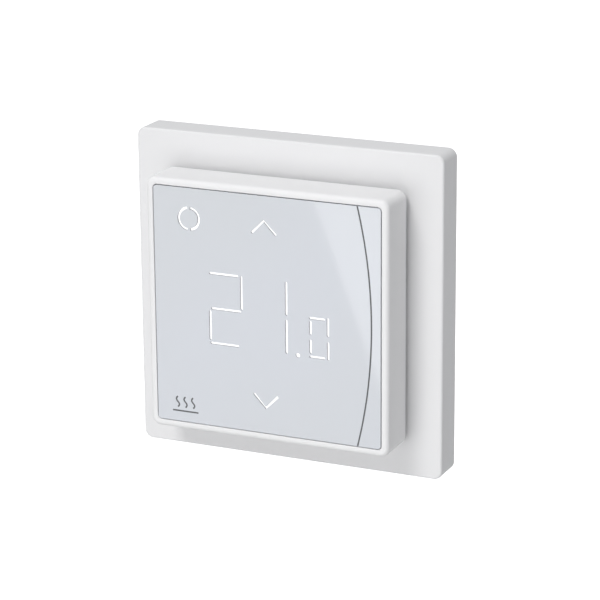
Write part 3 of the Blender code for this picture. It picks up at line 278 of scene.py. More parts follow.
def ribbon(points, width):
    """The outline of a band of even width along a row of (x, z) points."""
    left, right = [], []
    for index, point in enumerate(points):
        before = Vector(points[max(index - 1, 0)])
        after = Vector(points[min(index + 1, len(points) - 1)])
        along = (after - before).normalized()
        across = Vector((-along.y, along.x)) * (width / 2)
        left.append(Vector(point) + across)
        right.append(Vector(point) - across)
    return left + right[::-1]


def subtract(piece, cutter, crossed=False):
    """Cuts a helper out of a piece. The cut's faces take the helper's material, where it has one. crossed is
    for a helper whose own solids run through each other."""
    modifier = piece.modifiers.new("Cut", "BOOLEAN")
    modifier.operation = "DIFFERENCE"
    modifier.solver = "EXACT"
    modifier.use_self = crossed
    modifier.material_mode = "TRANSFER" if cutter.data.materials else "INDEX"
    modifier.object = cutter
    baked(piece)
    bpy.data.objects.remove(cutter, do_unlink=True)
    return piece


def refined(node, name, material, width, segments=2):
    """A copy of a CAD node with its small edges rounded, which takes the node's place."""
    bm = bmesh.new()
    bm.from_mesh(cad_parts[node].data)
    bmesh.ops.remove_doubles(bm, verts=bm.verts, dist=0.002 * MM)
    bmesh.ops.dissolve_limit(bm, angle_limit=math.radians(1), verts=bm.verts, edges=bm.edges)
    piece = link(name, mesh_from(name, bm, recalculate=False))
    bevel = piece.modifiers.new("Bevel", "BEVEL")
    bevel.width = width
    bevel.segments = segments
    bevel.limit_method = "ANGLE"
    bevel.angle_limit = math.radians(BEVEL_ANGLE)
    bevel.use_clamp_overlap = True
    bevel.miter_outer = "MITER_ARC"
    baked(piece)
    smooth(piece, 50)
    return paint(piece, material)


def paint(piece, *materials):
    """Gives a piece its materials, in the order of its faces' material indices."""
    piece.data.materials.clear()
    for material in materials:
        piece.data.materials.append(material)
    return piece


def settle(piece, body, slot, *nodes):
    """Hands a finished piece to its body and hides the CAD nodes that it replaces. slot is not used."""
    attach(piece, body)
    if nodes:
        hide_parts(*nodes)
    return piece


# ---- Shader groups and materials ----
SHADE_SCALE = 35
ROUGHNESS_SPREAD = 1.25
ACRYLIC_IOR = 1.49
WAVE_LENGTH = 0.314  # of a wave texture at scale 1


def feed(tree, node, inputs):
    """Sets a node's inputs by name or number. Each is a value, or another node's output that feeds it."""
    for name, value in inputs.items():
        if isinstance(value, bpy.types.NodeSocket):
            tree.links.new(value, node.inputs[name])
        else:
            node.inputs[name].default_value = value
    return node


def add(tree, kind, inputs=None, **options):
    """Adds a node, and sets its options before its inputs."""
    node = tree.nodes.new(kind)
    for name, value in options.items():
        setattr(node, name, value)
    return feed(tree, node, inputs or {})


def new_group(name, kind, inputs, outputs):
    """A node group and what it is given. An input is (name, kind, default), and an output (name, kind)."""
    group = bpy.data.node_groups.new(name, kind)
    for label, socket, default in inputs:
        made = group.interface.new_socket(label, in_out="INPUT", socket_type="NodeSocket" + socket)
        if default is not None:
            made.default_value = default
    for label, socket in outputs:
        group.interface.new_socket(label, in_out="OUTPUT", socket_type="NodeSocket" + socket)
    return group, add(group, "NodeGroupInput").outputs


def object_space(tree):
    return add(tree, "ShaderNodeTexCoord").outputs["Object"]


def noise(tree, place, scale, detail=2):
    return add(tree, "ShaderNodeTexNoise", {"Vector": place, "Scale": scale, "Detail": detail}).outputs["Fac"]


def maths(tree, operation, first, second):
    return add(tree, "ShaderNodeMath", {0: first, 1: second}, operation=operation).outputs[0]


def ranged(tree, value, low, high):
    """Stretches a value between 0 and 1 to between low and high."""
    return add(tree, "ShaderNodeMapRange", {"Value": value, "To Min": low, "To Max": high}).outputs["Result"]


def ramp(tree, value, low, high, ends=(0, 1)):
    """A colour that runs from low to high as a value runs between its ends."""
    node = add(tree, "ShaderNodeValToRGB", {"Fac": value})
    for element, tone, position in zip(node.color_ramp.elements, (low, high), ends):
        element.position = position
        element.color = (*tone, 1)
    return node.outputs["Color"]


def relief(tree, height, distance, strength=1.0):
    """The normal of a surface with that height."""
    inputs = {"Height": height, "Distance": distance, "Strength": strength}
    return add(tree, "ShaderNodeBump", inputs).outputs["Normal"]


def moulded_grain_group():
    """Fine spark-eroded grain and slow shade variation, as a mould leaves them on plastic."""
    found = bpy.data.node_groups.get("moulded_grain")
    if found:
        return found
    inputs = (
        ("Colour", "Color", (0.8, 0.8, 0.8, 1)),
        ("Grain Size", "Float", 0.25 * MM),
        ("Roughness", "Float", 0.4),
        ("Shade Variation", "Float", 0.02),
    )
    outputs = (("Colour", "Color"), ("Roughness", "Float"), ("Height", "Float"))
    group, given = new_group("moulded_grain", "ShaderNodeTree", inputs, outputs)
    place = object_space(group)
    grain = noise(group, place, maths(group, "DIVIDE", 1.0, given["Grain Size"]), detail=3)
    darkest = maths(group, "SUBTRACT", 1.0, given["Shade Variation"])
    shade = ranged(group, noise(group, place, SHADE_SCALE), darkest, 1.0)
    tint = add(
        group,
        "ShaderNodeMix",
        {"Factor": 1.0, "A": given["Colour"], "B": shade},
        data_type="RGBA",
        blend_type="MULTIPLY",
    )
    dullest = maths(group, "MULTIPLY", given["Roughness"], ROUGHNESS_SPREAD)
    rough = ranged(group, grain, given["Roughness"], dullest)
    add(group, "NodeGroupOutput", {"Colour": tint.outputs["Result"], "Roughness": rough, "Height": grain})
    return group


def made_once(make):
    """Where a material of that name is already there, it is handed back instead of a new one."""

    def found_or_made(name, *values, **options):
        return bpy.data.materials.get(name) or make(name, *values, **options)

    return found_or_made


def new_material(name):
    material = bpy.data.materials.new(name)
    material.use_nodes = True
    return material, material.node_tree, material.node_tree.nodes["Principled BSDF"]


@made_once
def moulded_plastic(name, tone, roughness, grain=0.25 * MM, bump=0.04, variation=0.02):
    """Moulded plastic with a fine grain."""
    material, tree, shader = new_material(name)
    values = {
        "Colour": (*tone, 1),
        "Grain Size": grain,
        "Roughness": roughness,
        "Shade Variation": variation,
    }
    texture = add(tree, "ShaderNodeGroup", values, node_tree=moulded_grain_group()).outputs
    inputs = {
        "Base Color": texture["Colour"],
        "Roughness": texture["Roughness"],
        "Normal": relief(tree, texture["Height"], 0.05 * MM, bump),
        "Specular IOR Level": 0.45,
    }
    feed(tree, shader, inputs)
    return material


@made_once
def lens_material(name, display):
    """Clear acrylic with a pale print behind it: a smooth gloss over an even tone with a faint drift."""
    material, tree, shader = new_material(name)
    place = object_space(tree)
    tone = Vector(display.print_colour)
    bluer = (tone.x, tone.y, tone.z * 1.02)
    inputs = {
        "Base Color": ramp(tree, noise(tree, place, 18, detail=1), tone * 0.985, bluer, ends=(0.35, 0.65)),
        "Roughness": ranged(tree, noise(tree, place, 900), 0.024, 0.038),
        "IOR": ACRYLIC_IOR,
    }
    feed(tree, shader, inputs)
    return material


@made_once
def light_material(name, display):
    """The white glow of a lit bar, a little uneven along its length."""
    material, tree, shader = new_material(name)
    glow = Vector(display.light_colour)
    inputs = {
        "Emission Color": ramp(tree, noise(tree, object_space(tree), 260, detail=0), glow * 0.93, glow),
        "Emission Strength": display.light_strength,
        "Base Color": (0.35, 0.35, 0.35, 1),
        "Roughness": 0.6,
    }
    feed(tree, shader, inputs)
    return material


@made_once
def metal(name, tone, roughness, streak=(1, 1, 1), streak_scale=400, spangle=0.0):
    """Bare or plated metal with fine drawn streaks. spangle is how far its zinc crystals differ in tone."""
    material, tree, shader = new_material(name)
    place = object_space(tree)
    drawn = add(tree, "ShaderNodeMapping", {"Vector": place, "Scale": streak}).outputs["Vector"]
    lines = noise(tree, drawn, streak_scale, detail=4)
    if spangle:
        cloud = add(tree, "ShaderNodeTexVoronoi", {"Vector": place, "Scale": 650}).outputs["Color"]
    else:
        cloud = noise(tree, place, 220)
    base = Vector(tone)
    inputs = {
        "Base Color": ramp(tree, cloud, base * (0.86 - spangle), base),
        "Roughness": ranged(tree, lines, roughness * 0.75, roughness * 1.3),
        "Normal": relief(tree, lines, 0.02 * MM, 0.08),
        "Metallic": 1.0,
    }
    feed(tree, shader, inputs)
    return material


# ---- The white shells ----
def white_plastic(name, tone):
    return moulded_plastic(name, tuple(tone), 0.34, grain=0.32 * MM, bump=0.05, variation=0.012)


class THERMOSTAT_OT_design_frame(bpy.types.Operator):
    """Makes the flat square frame that lies on the wall."""

    bl_idname = "thermostat.design_frame"
    bl_label = "Design Frame"

    def execute(self, context):
        shell = context.scene.thermostat_shell
        half, out = FRAME_BOX[1], FRAME_BOX[3]
        corner, edge = shell.frame_corner, shell.frame_edge
        opening, opening_corner = 27.5 * MM, 2.6 * MM
        rear_edge, lip, root = 0.25 * MM, 0.5 * MM, 0.4 * MM
        wall, face, floor = 2.0 * MM, 2.2 * MM, 1.5 * MM
        ring_outer, ring_inner, ring_corner = 34.7 * MM, 33.5 * MM, 2 * MM
        collar_outer = 29.1 * MM
        under = out - face
        rings = [(half - rear_edge, corner, 0.0), (half, corner, rear_edge)]
        rings += edge_arc(half, corner, out, edge)
        rings += [(opening + lip, opening_corner + lip, out), (opening, opening_corner, out - lip)]
        rings += [(opening, opening_corner, floor), (collar_outer, opening_corner, floor)]
        rings += [(collar_outer, opening_corner, under - root), (collar_outer + root, opening_corner, under)]
        rings += [(ring_inner - root, ring_corner, under), (ring_inner, ring_corner, under - root)]
        rings += [(ring_inner, ring_corner, floor), (ring_outer, ring_corner, floor)]
        rings += [(ring_outer, ring_corner, under - root), (ring_outer + root, ring_corner, under)]
        rings += [(half - wall - root, corner / 2, under), (half - wall, corner / 2, under - root)]
        rings += [(half - wall, corner / 2, 0.0)]
        piece = ring_solid("frame_shell", rings, closed=True)
        smooth(piece)
        paint(piece, white_plastic("frame_white", shell.frame_colour))
        settle(piece, FRAME_BODY, "white_plastic", "design_frame")
        return {"FINISHED"}


class THERMOSTAT_OT_display_housing(bpy.types.Operator):
    """Makes the raised shell round the display, with the pocket for its lens."""

    bl_idname = "thermostat.display_housing"
    bl_label = "Display Housing"

    def execute(self, context):
        shell = context.scene.thermostat_shell
        half, rear, out = HOUSING_BOX[1:4]
        corner, edge = shell.housing_corner, shell.housing_edge
        lens_half = LENS_BOX[1] - context.scene.thermostat_display.lens_play
        pocket, pocket_corner = lens_half + SEAM, LENS_CORNER + SEAM
        pocket_floor = LENS_BOX[2] - 1.1 * MM
        ledge_inner, ledge_corner = lens_half - 2.2 * MM, 1.5 * MM
        ledge_rear = pocket_floor - 1.3 * MM
        inner = half - 1.8 * MM
        rear_edge, lip = 0.35 * MM, 0.22 * MM
        rings = [(inner, corner / 2, rear)]
        rings += [(half - rear_edge, corner, rear), (half, corner, rear + rear_edge)]
        rings += edge_arc(half, corner, out, edge)
        rings += [(pocket + lip, pocket_corner + lip, out)]
        rings += edge_lip(pocket, pocket_corner, out, lip)
        rings += [(pocket, pocket_corner, pocket_floor), (ledge_inner, ledge_corner, pocket_floor)]
        rings += [(ledge_inner, ledge_corner, ledge_rear), (inner, corner / 2, ledge_rear)]
        piece = ring_solid("display_surround", rings, closed=True)
        side, past = 1.9 * MM, 1 * MM
        low, high = -half - past, past - inner
        slot = [(-side, low), (side, low), (side, high), (-side, high)]
        slot_rear, slot_front = rear + 1.8 * MM, rear + 3.1 * MM
        cutter = made("tool_slot", lambda bm: extrude_outline(bm, slot, slot_rear, slot_front))
        plastic = white_plastic("housing_white", shell.housing_colour)
        paint(piece, plastic)
        paint(cutter, plastic)
        subtract(piece, cutter)
        smooth(piece)
        settle(piece, DISPLAY_BODY, "white_plastic", "front_housing")
        return {"FINISHED"}


def edge_lip(half, corner, out, radius, steps=3):
    """Rings from a flat face down into an opening, round a small radius."""
    rings = []
    for step in range(1, steps + 1):
        angle = math.radians(90 * step / steps)
        spread = radius * (1 - math.sin(angle))
        rings.append((half + spread, corner + spread, out - radius * (1 - math.cos(angle))))
    return rings


# ---- The display ----
# Places on the lens are (x, z) in millimetres from its middle.
SHINE_SHIFT = Vector((-0.10 * MM, -0.07 * MM))

TENS = [
    ((-15.95, 9.75), (-7.55, 9.75)),
    ((-6.80, 9.95), (-6.80, 0.85)),
    ((-15.45, 0.43), (-6.85, 0.43)),
    ((-15.68, -0.05), (-15.68, -8.15)),
    ((-15.85, -8.85), (-7.55, -8.85)),
]
UNITS = [((5.70, 9.90), (5.70, 0.95)), ((5.70, -0.05), (5.70, -9.20))]
TENTHS = [
    ((11.85, 1.10), (16.45, 1.10)),
    ((12.35, 0.45), (12.35, -3.40)),
    ((12.35, -4.50), (12.35, -8.35)),
    ((17.15, 1.70), (17.15, -3.40)),
    ((17.20, -4.65), (17.20, -9.55)),
    ((11.95, -9.10), (16.40, -9.10)),
]
POINT_AT = (8.80, -9.20)
POINT_RADIUS = 0.58
UP_ARROW = [(-3.80, 21.60), (-0.36, 25.00), (3.05, 21.55)]
DOWN_ARROW = [(-3.60, -20.90), (-0.30, -24.50), (3.10, -21.05)]
RING_AT = (-21.33, 23.45)
RING_RADIUS = 2.84
RING_GAP = 0.70
LINE_STEPS = 48

# The heating sign: its middle, its lines' width, its floor line, and its three rising waves.
SIGN_AT = (-23.40, -27.20)
SIGN_WIDTH = 0.42
SIGN_HALF = 3.7
SIGN_FLOOR = 1.35
WAVE_PITCH = 2.2
WAVE_SWING = 0.42
WAVE_FOOT = 0.35
WAVE_HEIGHT = 2.9
WAVE_STEPS = 16


def round_points(middle, radius, angles, side=1):
    """Points round a middle. side is -1 to mirror them left to right."""
    x, z = middle
    return [(x + side * radius * math.cos(angle), z + radius * math.sin(angle)) for angle in angles]


def ring_half(side):
    """Points along one half of the broken ring. side is 1 for the right half."""
    gap = math.asin(RING_GAP / 2 / RING_RADIUS)
    reach = math.pi - 2 * gap
    angles = [math.pi / 2 - gap - reach * step / ROUND_STEPS for step in range(ROUND_STEPS + 1)]
    return round_points(RING_AT, RING_RADIUS, angles, side)


def in_metres(points):
    return [Vector((x * MM, z * MM)) + SHINE_SHIFT for x, z in points]


def add_marks(bm, width, out_from, out_to):
    """Adds every lit mark as a solid between two distances out."""
    for start, end in TENS + UNITS + TENTHS:
        swept_bar(bm, *in_metres((start, end)), width, out_from, out_to)
    for line in (UP_ARROW, DOWN_ARROW, ring_half(-1), ring_half(1)):
        extrude_outline(bm, ribbon(in_metres(line), width), out_from, out_to)
    radius = POINT_RADIUS + (width / MM - 0.5) / 4
    angles = [2 * math.pi * step / ROUND_STEPS for step in range(ROUND_STEPS)]
    extrude_outline(bm, in_metres(round_points(POINT_AT, radius, angles)), out_from, out_to)


def curved_line(display, reach):
    """Points along the curved line, from reach below the middle to reach above it."""
    half = LENS_BOX[5]
    radius = (half**2 + display.line_bulge**2) / (2 * display.line_bulge)
    widest = math.asin(reach / radius)
    angles = [widest * (2 * step / LINE_STEPS - 1) for step in range(LINE_STEPS + 1)]
    return round_points((display.line_middle - radius, 0), radius, angles)


def heating_sign(bm, out_from, out_to):
    """A generic sign for floor heating: three rising waves over a floor line."""
    x, z = SIGN_AT
    lines = [[(x - SIGN_HALF, z - SIGN_FLOOR), (x + SIGN_HALF, z - SIGN_FLOOR)]]
    for offset in (-WAVE_PITCH, 0.0, WAVE_PITCH):
        rises = [step / WAVE_STEPS for step in range(WAVE_STEPS + 1)]
        lines.append(
            [
                (x + offset + WAVE_SWING * math.sin(2 * math.pi * rise), z - WAVE_FOOT + WAVE_HEIGHT * rise)
                for rise in rises
            ]
        )
    for line in lines:
        points = [Vector((x * MM, z * MM)) for x, z in line]
        extrude_outline(bm, ribbon(points, SIGN_WIDTH * MM), out_from, out_to)


class THERMOSTAT_OT_display_window(bpy.types.Operator):
    """Makes the lens, with its curved line filled with painted shade, its printed heating sign and the
    openings of the lit marks.
    """

    bl_idname = "thermostat.display_window"
    bl_label = "Display Window"

    def execute(self, context):
        display = context.scene.thermostat_display
        half, rear, out = LENS_BOX[1] - display.lens_play, LENS_BOX[2], LENS_OUT
        edge = 0.10 * MM
        rings = [(half, LENS_CORNER, rear)] + edge_arc(half, LENS_CORNER, out, edge, steps=3)
        lens = ring_solid("display_window", rings, closed=False)
        paint(lens, lens_material("display_window_print", display))
        walls = moulded_plastic("mark_wall", (0.42, 0.43, 0.45), 0.5)
        # The curved line's shallow groove is filled with painted shade for a parting line's dark; the heating
        # sign's groove holds print.
        shade_and_print = moulded_plastic("line_shade_and_sign_print", tuple(display.line_shade_and_sign_colour), 0.45, bump=0.0)
        over = out + 0.5 * MM
        mark_floor = out - display.mark_depth - 0.05 * MM
        line_floor, sign_floor = out - 0.10 * MM, out - 0.04 * MM

        def cut(name, material, fill):
            subtract(lens, paint(made(name, fill), material))

        line = ribbon(curved_line(display, half + 1 * MM), display.line_width)
        cut("mark_openings", walls, lambda bm: add_marks(bm, display.mark_width, mark_floor, over))
        cut("line_groove", shade_and_print, lambda bm: extrude_outline(bm, line, line_floor, over))
        cut("sign_groove", shade_and_print, lambda bm: heating_sign(bm, sign_floor, over))
        smooth(lens, 30)
        settle(lens, DISPLAY_BODY, "display_lens", "touch_lens")
        return {"FINISHED"}


class THERMOSTAT_OT_lit_marks(bpy.types.Operator):
    """Makes the lit digits, arrows and power ring that lie in the lens's openings."""

    bl_idname = "thermostat.lit_marks"
    bl_label = "Lit Marks"

    def execute(self, context):
        display = context.scene.thermostat_display
        front = LENS_OUT - display.mark_depth
        width = display.mark_width - 0.02 * MM
        marks = made("lit_marks", lambda bm: add_marks(bm, width, front - 0.03 * MM, front))
        paint(marks, light_material("lit_mark", display))
        settle(marks, DISPLAY_BODY, "display_lens")
        return {"FINISHED"}


# ---- Repeated parts ----
def end_on_points(tree, given, inputs):
    """Ends a tree: its part is stood on every point, made real and given its material."""
    place = add(tree, "GeometryNodeInstanceOnPoints", {"Points": given["Geometry"], **inputs})
    real = add(tree, "GeometryNodeRealizeInstances", {"Geometry": place.outputs["Instances"]})
    painted = {"Geometry": real.outputs["Geometry"], "Material": given["Material"]}
    finish = add(tree, "GeometryNodeSetMaterial", painted)
    add(tree, "NodeGroupOutput", {"Geometry": finish.outputs["Geometry"]})


def parts_on_points_tree():
    """A tree that stands one part on every point of a mesh and gives the result one material."""
    found = bpy.data.node_groups.get("parts_on_points")
    if found:
        return found
    inputs = (
        ("Geometry", "Geometry", None),
        ("Part", "Object", None),
        ("Size", "Float", 1.0),
        ("Material", "Material", None),
    )
    tree, given = new_group("parts_on_points", "GeometryNodeTree", inputs, (("Geometry", "Geometry"),))
    part = add(tree, "GeometryNodeObjectInfo", {"Object": given["Part"]})
    end_on_points(tree, given, {"Instance": part.outputs["Geometry"], "Scale": given["Size"]})
    return tree


def coil_spring_tree():
    """A tree that winds a round wire into a spring on every point of a mesh, with its axis along Y."""
    found = bpy.data.node_groups.get("coil_springs")
    if found:
        return found
    inputs = (
        ("Geometry", "Geometry", None),
        ("Rear Radius", "Float", 3.2 * MM),
        ("Front Radius", "Float", 2.6 * MM),
        ("Height", "Float", 4.0 * MM),
        ("Turns", "Float", 4.0),
        ("Wire Radius", "Float", 0.2 * MM),
        ("Material", "Material", None),
    )
    tree, given = new_group("coil_springs", "GeometryNodeTree", inputs, (("Geometry", "Geometry"),))
    spiral = {
        "Resolution": 32,
        "Rotations": given["Turns"],
        "Start Radius": given["Rear Radius"],
        "End Radius": given["Front Radius"],
        "Height": given["Height"],
    }
    path = add(tree, "GeometryNodeCurveSpiral", spiral).outputs["Curve"]
    circle = {"Resolution": 10, "Radius": given["Wire Radius"]}
    section = add(tree, "GeometryNodeCurvePrimitiveCircle", circle).outputs["Curve"]
    wound = {"Curve": path, "Profile Curve": section, "Fill Caps": True}
    wire = add(tree, "GeometryNodeCurveToMesh", wound).outputs["Mesh"]
    turn = add(tree, "GeometryNodeTransform", {"Geometry": wire, "Rotation": (math.pi / 2, 0, 0)})
    end_on_points(tree, given, {"Instance": turn.outputs["Geometry"]})
    return tree


def grown(name, places, tree, **values):
    """A plain mesh made by a tree on a list of (x, out, z) places. values are the tree's inputs by name."""
    mesh = bpy.data.meshes.new(name)
    mesh.from_pydata([(x, -out, z) for x, out, z in places], [], [])
    piece = link(name, mesh)
    modifier = piece.modifiers.new(tree.name, "NODES")
    modifier.node_group = tree
    for item in tree.interface.items_tree:
        if item.in_out == "INPUT" and item.name in values:
            modifier[item.identifier] = values[item.name]
    return baked(piece)


def repeated(name, places, part, material):
    """One part stood on every place. The part itself is a helper and is removed."""
    piece = grown(name, places, parts_on_points_tree(), Part=part, Material=material)
    bpy.data.objects.remove(part, do_unlink=True)
    return piece


def slot_part(name, width, height, out_from, out_to):
    """A straight plug with round ends, for cutting a vent or a slot."""
    outline = rounded_square(width / 2, height / 2, min(width, height) / 2, steps=6)
    bm = bmesh.new()
    extrude_outline(bm, outline, out_from, out_to)
    bmesh.ops.remove_doubles(bm, verts=bm.verts, dist=0.001 * MM)
    return link(name, mesh_from(name, bm))


def even_row(count, pitch):
    return [(index - (count - 1) / 2) * pitch for index in range(count)]


def cut_row(piece, name, places, part):
    """Cuts a part out of a piece at every place."""
    return subtract(piece, repeated(name, places, part, piece.data.materials[0]))


# A screw head's outline from its top to its underside: shares of the head's radius and height.
HEAD_PROFILE = ((0.45, 1.0), (0.72, 0.94), (0.90, 0.78), (0.985, 0.5), (1.0, 0.25), (1.0, 0.05), (0.97, 0.0))
SCREW_SEGMENTS = 24
STEPS_PER_TURN = 8
THREAD_DEPTH = 0.30
TIP_LENGTH = 0.25
TIP_RADIUS = 0.55

# A recess is two crossed blades: length in recess widths, depth in head heights, thickness in recess widths.
BLADE = (2.6, 1.5, 0.7)


def turned_screw(name, head, shank, pitch, recess):
    """A screw along Y with a real thread. head is (radius, height), shank is (radius, length), and its tip
    points to +Y from the head's underside at the origin. recess is the width of its cross recess."""
    head_radius, head_height = head
    radius, total = shank
    depth = pitch * THREAD_DEPTH
    bm = bmesh.new()
    rings = []

    def ring(at, size):
        loop = []
        for index in range(SCREW_SEGMENTS):
            angle = 2 * math.pi * index / SCREW_SEGMENTS
            reach = size(angle) if callable(size) else size
            loop.append(bm.verts.new((reach * math.cos(angle), at, reach * math.sin(angle))))
        rings.append(loop)

    def threaded(at):
        taper = min(1.0, (total - at) / (1.5 * pitch), at / pitch)

        def reach(angle):
            phase = (angle / (2 * math.pi) - at / pitch) % 1.0
            crest = 1 - abs(2 * phase - 1)
            return radius - depth + depth * crest * max(taper, 0.0)

        return reach

    for share, lift in HEAD_PROFILE:
        ring(-head_height * lift, head_radius * share)
    ring(0.0, radius - depth)
    steps = int(total / pitch * STEPS_PER_TURN)
    for step in range(1, steps + 1):
        at = total * step / steps
        ring(at, threaded(at))
    ring(total + TIP_LENGTH * radius, (radius - depth) * TIP_RADIUS)
    skin(bm, rings)
    screw = link(name, mesh_from(name, bm))
    bm = bmesh.new()
    for turn in (0, 90):
        blade = bmesh.ops.create_cube(bm, size=1)["verts"]
        size = recess * BLADE[0], head_height * BLADE[1], recess * BLADE[2]
        bmesh.ops.scale(bm, verts=blade, vec=size)
        bmesh.ops.rotate(bm, verts=blade, matrix=Matrix.Rotation(math.radians(turn), 3, "Y"))
        bmesh.ops.translate(bm, verts=blade, vec=(0, -head_height, 0))
    subtract(screw, link("recess", mesh_from("recess", bm)), crossed=True)
    return smooth(screw, 45)


def placed(piece, place):
    """Moves a finished mesh to its place, turned round so that its -Y side faces the wall."""
    x, out, z = place
    turn = Matrix.Rotation(math.pi, 4, "Z")
    piece.data.transform(Matrix.Translation((x, -out, z)) @ turn)
    return piece


# ---- The base ----
def zinc():
    return metal("zinc_plate", (0.66, 0.68, 0.71), 0.36, spangle=0.06)


def bright_steel():
    return metal("nickel_steel", (0.66, 0.66, 0.65), 0.24, streak=(1, 8, 1), streak_scale=900)


def copper_strip():
    return metal("copper_strip", (0.83, 0.46, 0.28), 0.25, streak=(6, 1, 1), streak_scale=700)


def rear_box_plastic():
    tone = tuple(bpy.context.scene.thermostat_base.housing_colour)
    return moulded_plastic("rear_box_plastic", tone, 0.5, grain=0.45 * MM, bump=0.12, variation=0.03)


def cover_plastic():
    tone = tuple(bpy.context.scene.thermostat_base.cover_colour)
    return moulded_plastic("inner_cover_plastic", tone, 0.48, grain=0.4 * MM, bump=0.12, variation=0.04)


def block_plastic():
    return moulded_plastic("terminal_block_plastic", (0.035, 0.037, 0.04), 0.42, grain=0.3 * MM, bump=0.08)


class THERMOSTAT_OT_rear_box(bpy.types.Operator):
    """Makes the box that sits in the wall, with its vents and grip lines."""

    bl_idname = "thermostat.rear_box"
    bl_label = "Rear Box"

    def execute(self, context):
        edge = context.scene.thermostat_base.edge
        piece = refined("rear_housing", "rear_box", rear_box_plastic(), edge)
        rear = extent("rear_housing")[2]
        vent = slot_part("vent", 1.3 * MM, 7.0 * MM, rear - 1 * MM, rear + 3 * MM)
        cut_row(piece, "rear_vents", [(x, 0, 15.5 * MM) for x in even_row(9, 3.4 * MM)], vent)
        grip = slot_part("grip_line", 30 * MM, 0.7 * MM, rear - 1 * MM, rear + 0.35 * MM)
        cut_row(piece, "grip_lines", [(0, 0, z * MM) for z in (-5.4, -3.6, -1.8)], grip)
        smooth(piece)
        settle(piece, BASE_BODY, "white_plastic", "rear_housing")
        return {"FINISHED"}


class THERMOSTAT_OT_mounting_plate(bpy.types.Operator):
    """Makes the zinc-plated wall plate."""

    bl_idname = "thermostat.mounting_plate"
    bl_label = "Mounting Plate"

    def execute(self, context):
        piece = refined("mounting_plate", "wall_plate", zinc(), 0.16 * MM, segments=3)
        settle(piece, BASE_BODY, "zinc_steel", "mounting_plate")
        return {"FINISHED"}


class THERMOSTAT_OT_inner_covers(bpy.types.Operator):
    """Makes the base's lid, the display's rear cover and the release latch."""

    bl_idname = "thermostat.inner_covers"
    bl_label = "Inner Covers"

    def execute(self, context):
        edge = context.scene.thermostat_base.edge
        lid = refined("base_cover", "base_lid", cover_plastic(), edge)
        front = extent("base_cover")[3]
        groove = slot_part("lid_groove", 40 * MM, 0.8 * MM, front - 0.3 * MM, front + 1 * MM)
        cut_row(lid, "lid_grooves", [(0, 0, z * MM) for z in (-2.0, 0.0, 2.0)], groove)
        smooth(lid)
        settle(lid, BASE_BODY, "pale_plastic", "base_cover")

        cover = refined("display_back_cover", "display_rear_cover", cover_plastic(), edge)
        rear = extent("display_back_cover")[2]
        vent_end, row_middle, row_heights = 9.5 * MM, 12 * MM, (-4.0, 6.0)
        vent = slot_part("cover_vent", 1.1 * MM, 6.5 * MM, rear - 1 * MM, vent_end)
        places = [(x + row_middle, 0, z * MM) for z in row_heights for x in even_row(6, 2.6 * MM)]
        cut_row(cover, "cover_vents", places, vent)
        smooth(cover)
        settle(cover, DISPLAY_BODY, "pale_plastic", "display_back_cover")

        latch = refined("release_latch", "latch_lever", cover_plastic(), 0.2 * MM, segments=3)
        settle(latch, LATCH_BODY, "pale_plastic", "release_latch")
        return {"FINISHED"}


def node_axis(box, out):
    """The place on a node's middle line at a distance out."""
    return (box[0] + box[1]) / 2, out, (box[4] + box[5]) / 2


class THERMOSTAT_OT_base_screws(bpy.types.Operator):
    """Makes the four screws that hold the base together."""

    bl_idname = "thermostat.base_screws"
    bl_label = "Base Screws"

    def execute(self, context):
        names = [f"base_screw_{number}" for number in range(1, 5)]
        boxes = [extent(name) for name in names]
        left, right, rear, front = boxes[0][:4]
        head = (right - left) / 2, 1.2 * MM
        shank = 1.1 * MM, front - rear - head[1] - 0.3 * MM
        screw = turned_screw("screw", head, shank, 0.8 * MM, 0.7 * MM)
        places = [node_axis(box, box[3] - head[1]) for box in boxes]
        piece = repeated("base_screws", places, screw, bright_steel())
        settle(piece, BASE_BODY, "zinc_steel", *names)
        return {"FINISHED"}


class THERMOSTAT_OT_terminals(bpy.types.Operator):
    """Makes the terminal block with its screws, lifting cages and tabs."""

    bl_idname = "thermostat.terminals"
    bl_label = "Terminals"

    def execute(self, context):
        edge = context.scene.thermostat_base.edge
        block = refined("terminal_block", "terminal_row", block_plastic(), edge)
        settle(block, BASE_BODY, "dark_plastic", "terminal_block")
        brass = metal("tinned_brass", (0.78, 0.62, 0.34), 0.28, streak=(1, 1, 6), streak_scale=600)
        for number in range(1, 7):
            node = f"terminal_screw_{number}"
            box = extent(node)
            head = (box[1] - box[0]) / 2, 1.5 * MM
            shank = 1.45 * MM, box[3] - box[2] - head[1] - 0.4 * MM
            screw = turned_screw(f"clamp_screw_{number}", head, shank, 0.5 * MM, 0.65 * MM)
            placed(screw, node_axis(box, box[2] + head[1]))
            paint(screw, bright_steel())
            settle(screw, node, "zinc_steel", node)
            cage = refined(f"terminal_cage_{number}", f"clamp_cage_{number}", zinc(), 0.22 * MM, segments=3)
            settle(cage, f"terminal_cage_{number}", "zinc_steel", f"terminal_cage_{number}")
            tab = refined(f"terminal_tab_{number}", f"current_bar_{number}", brass, 0.12 * MM)
            settle(tab, BASE_BODY, "brass", f"terminal_tab_{number}")
        return {"FINISHED"}


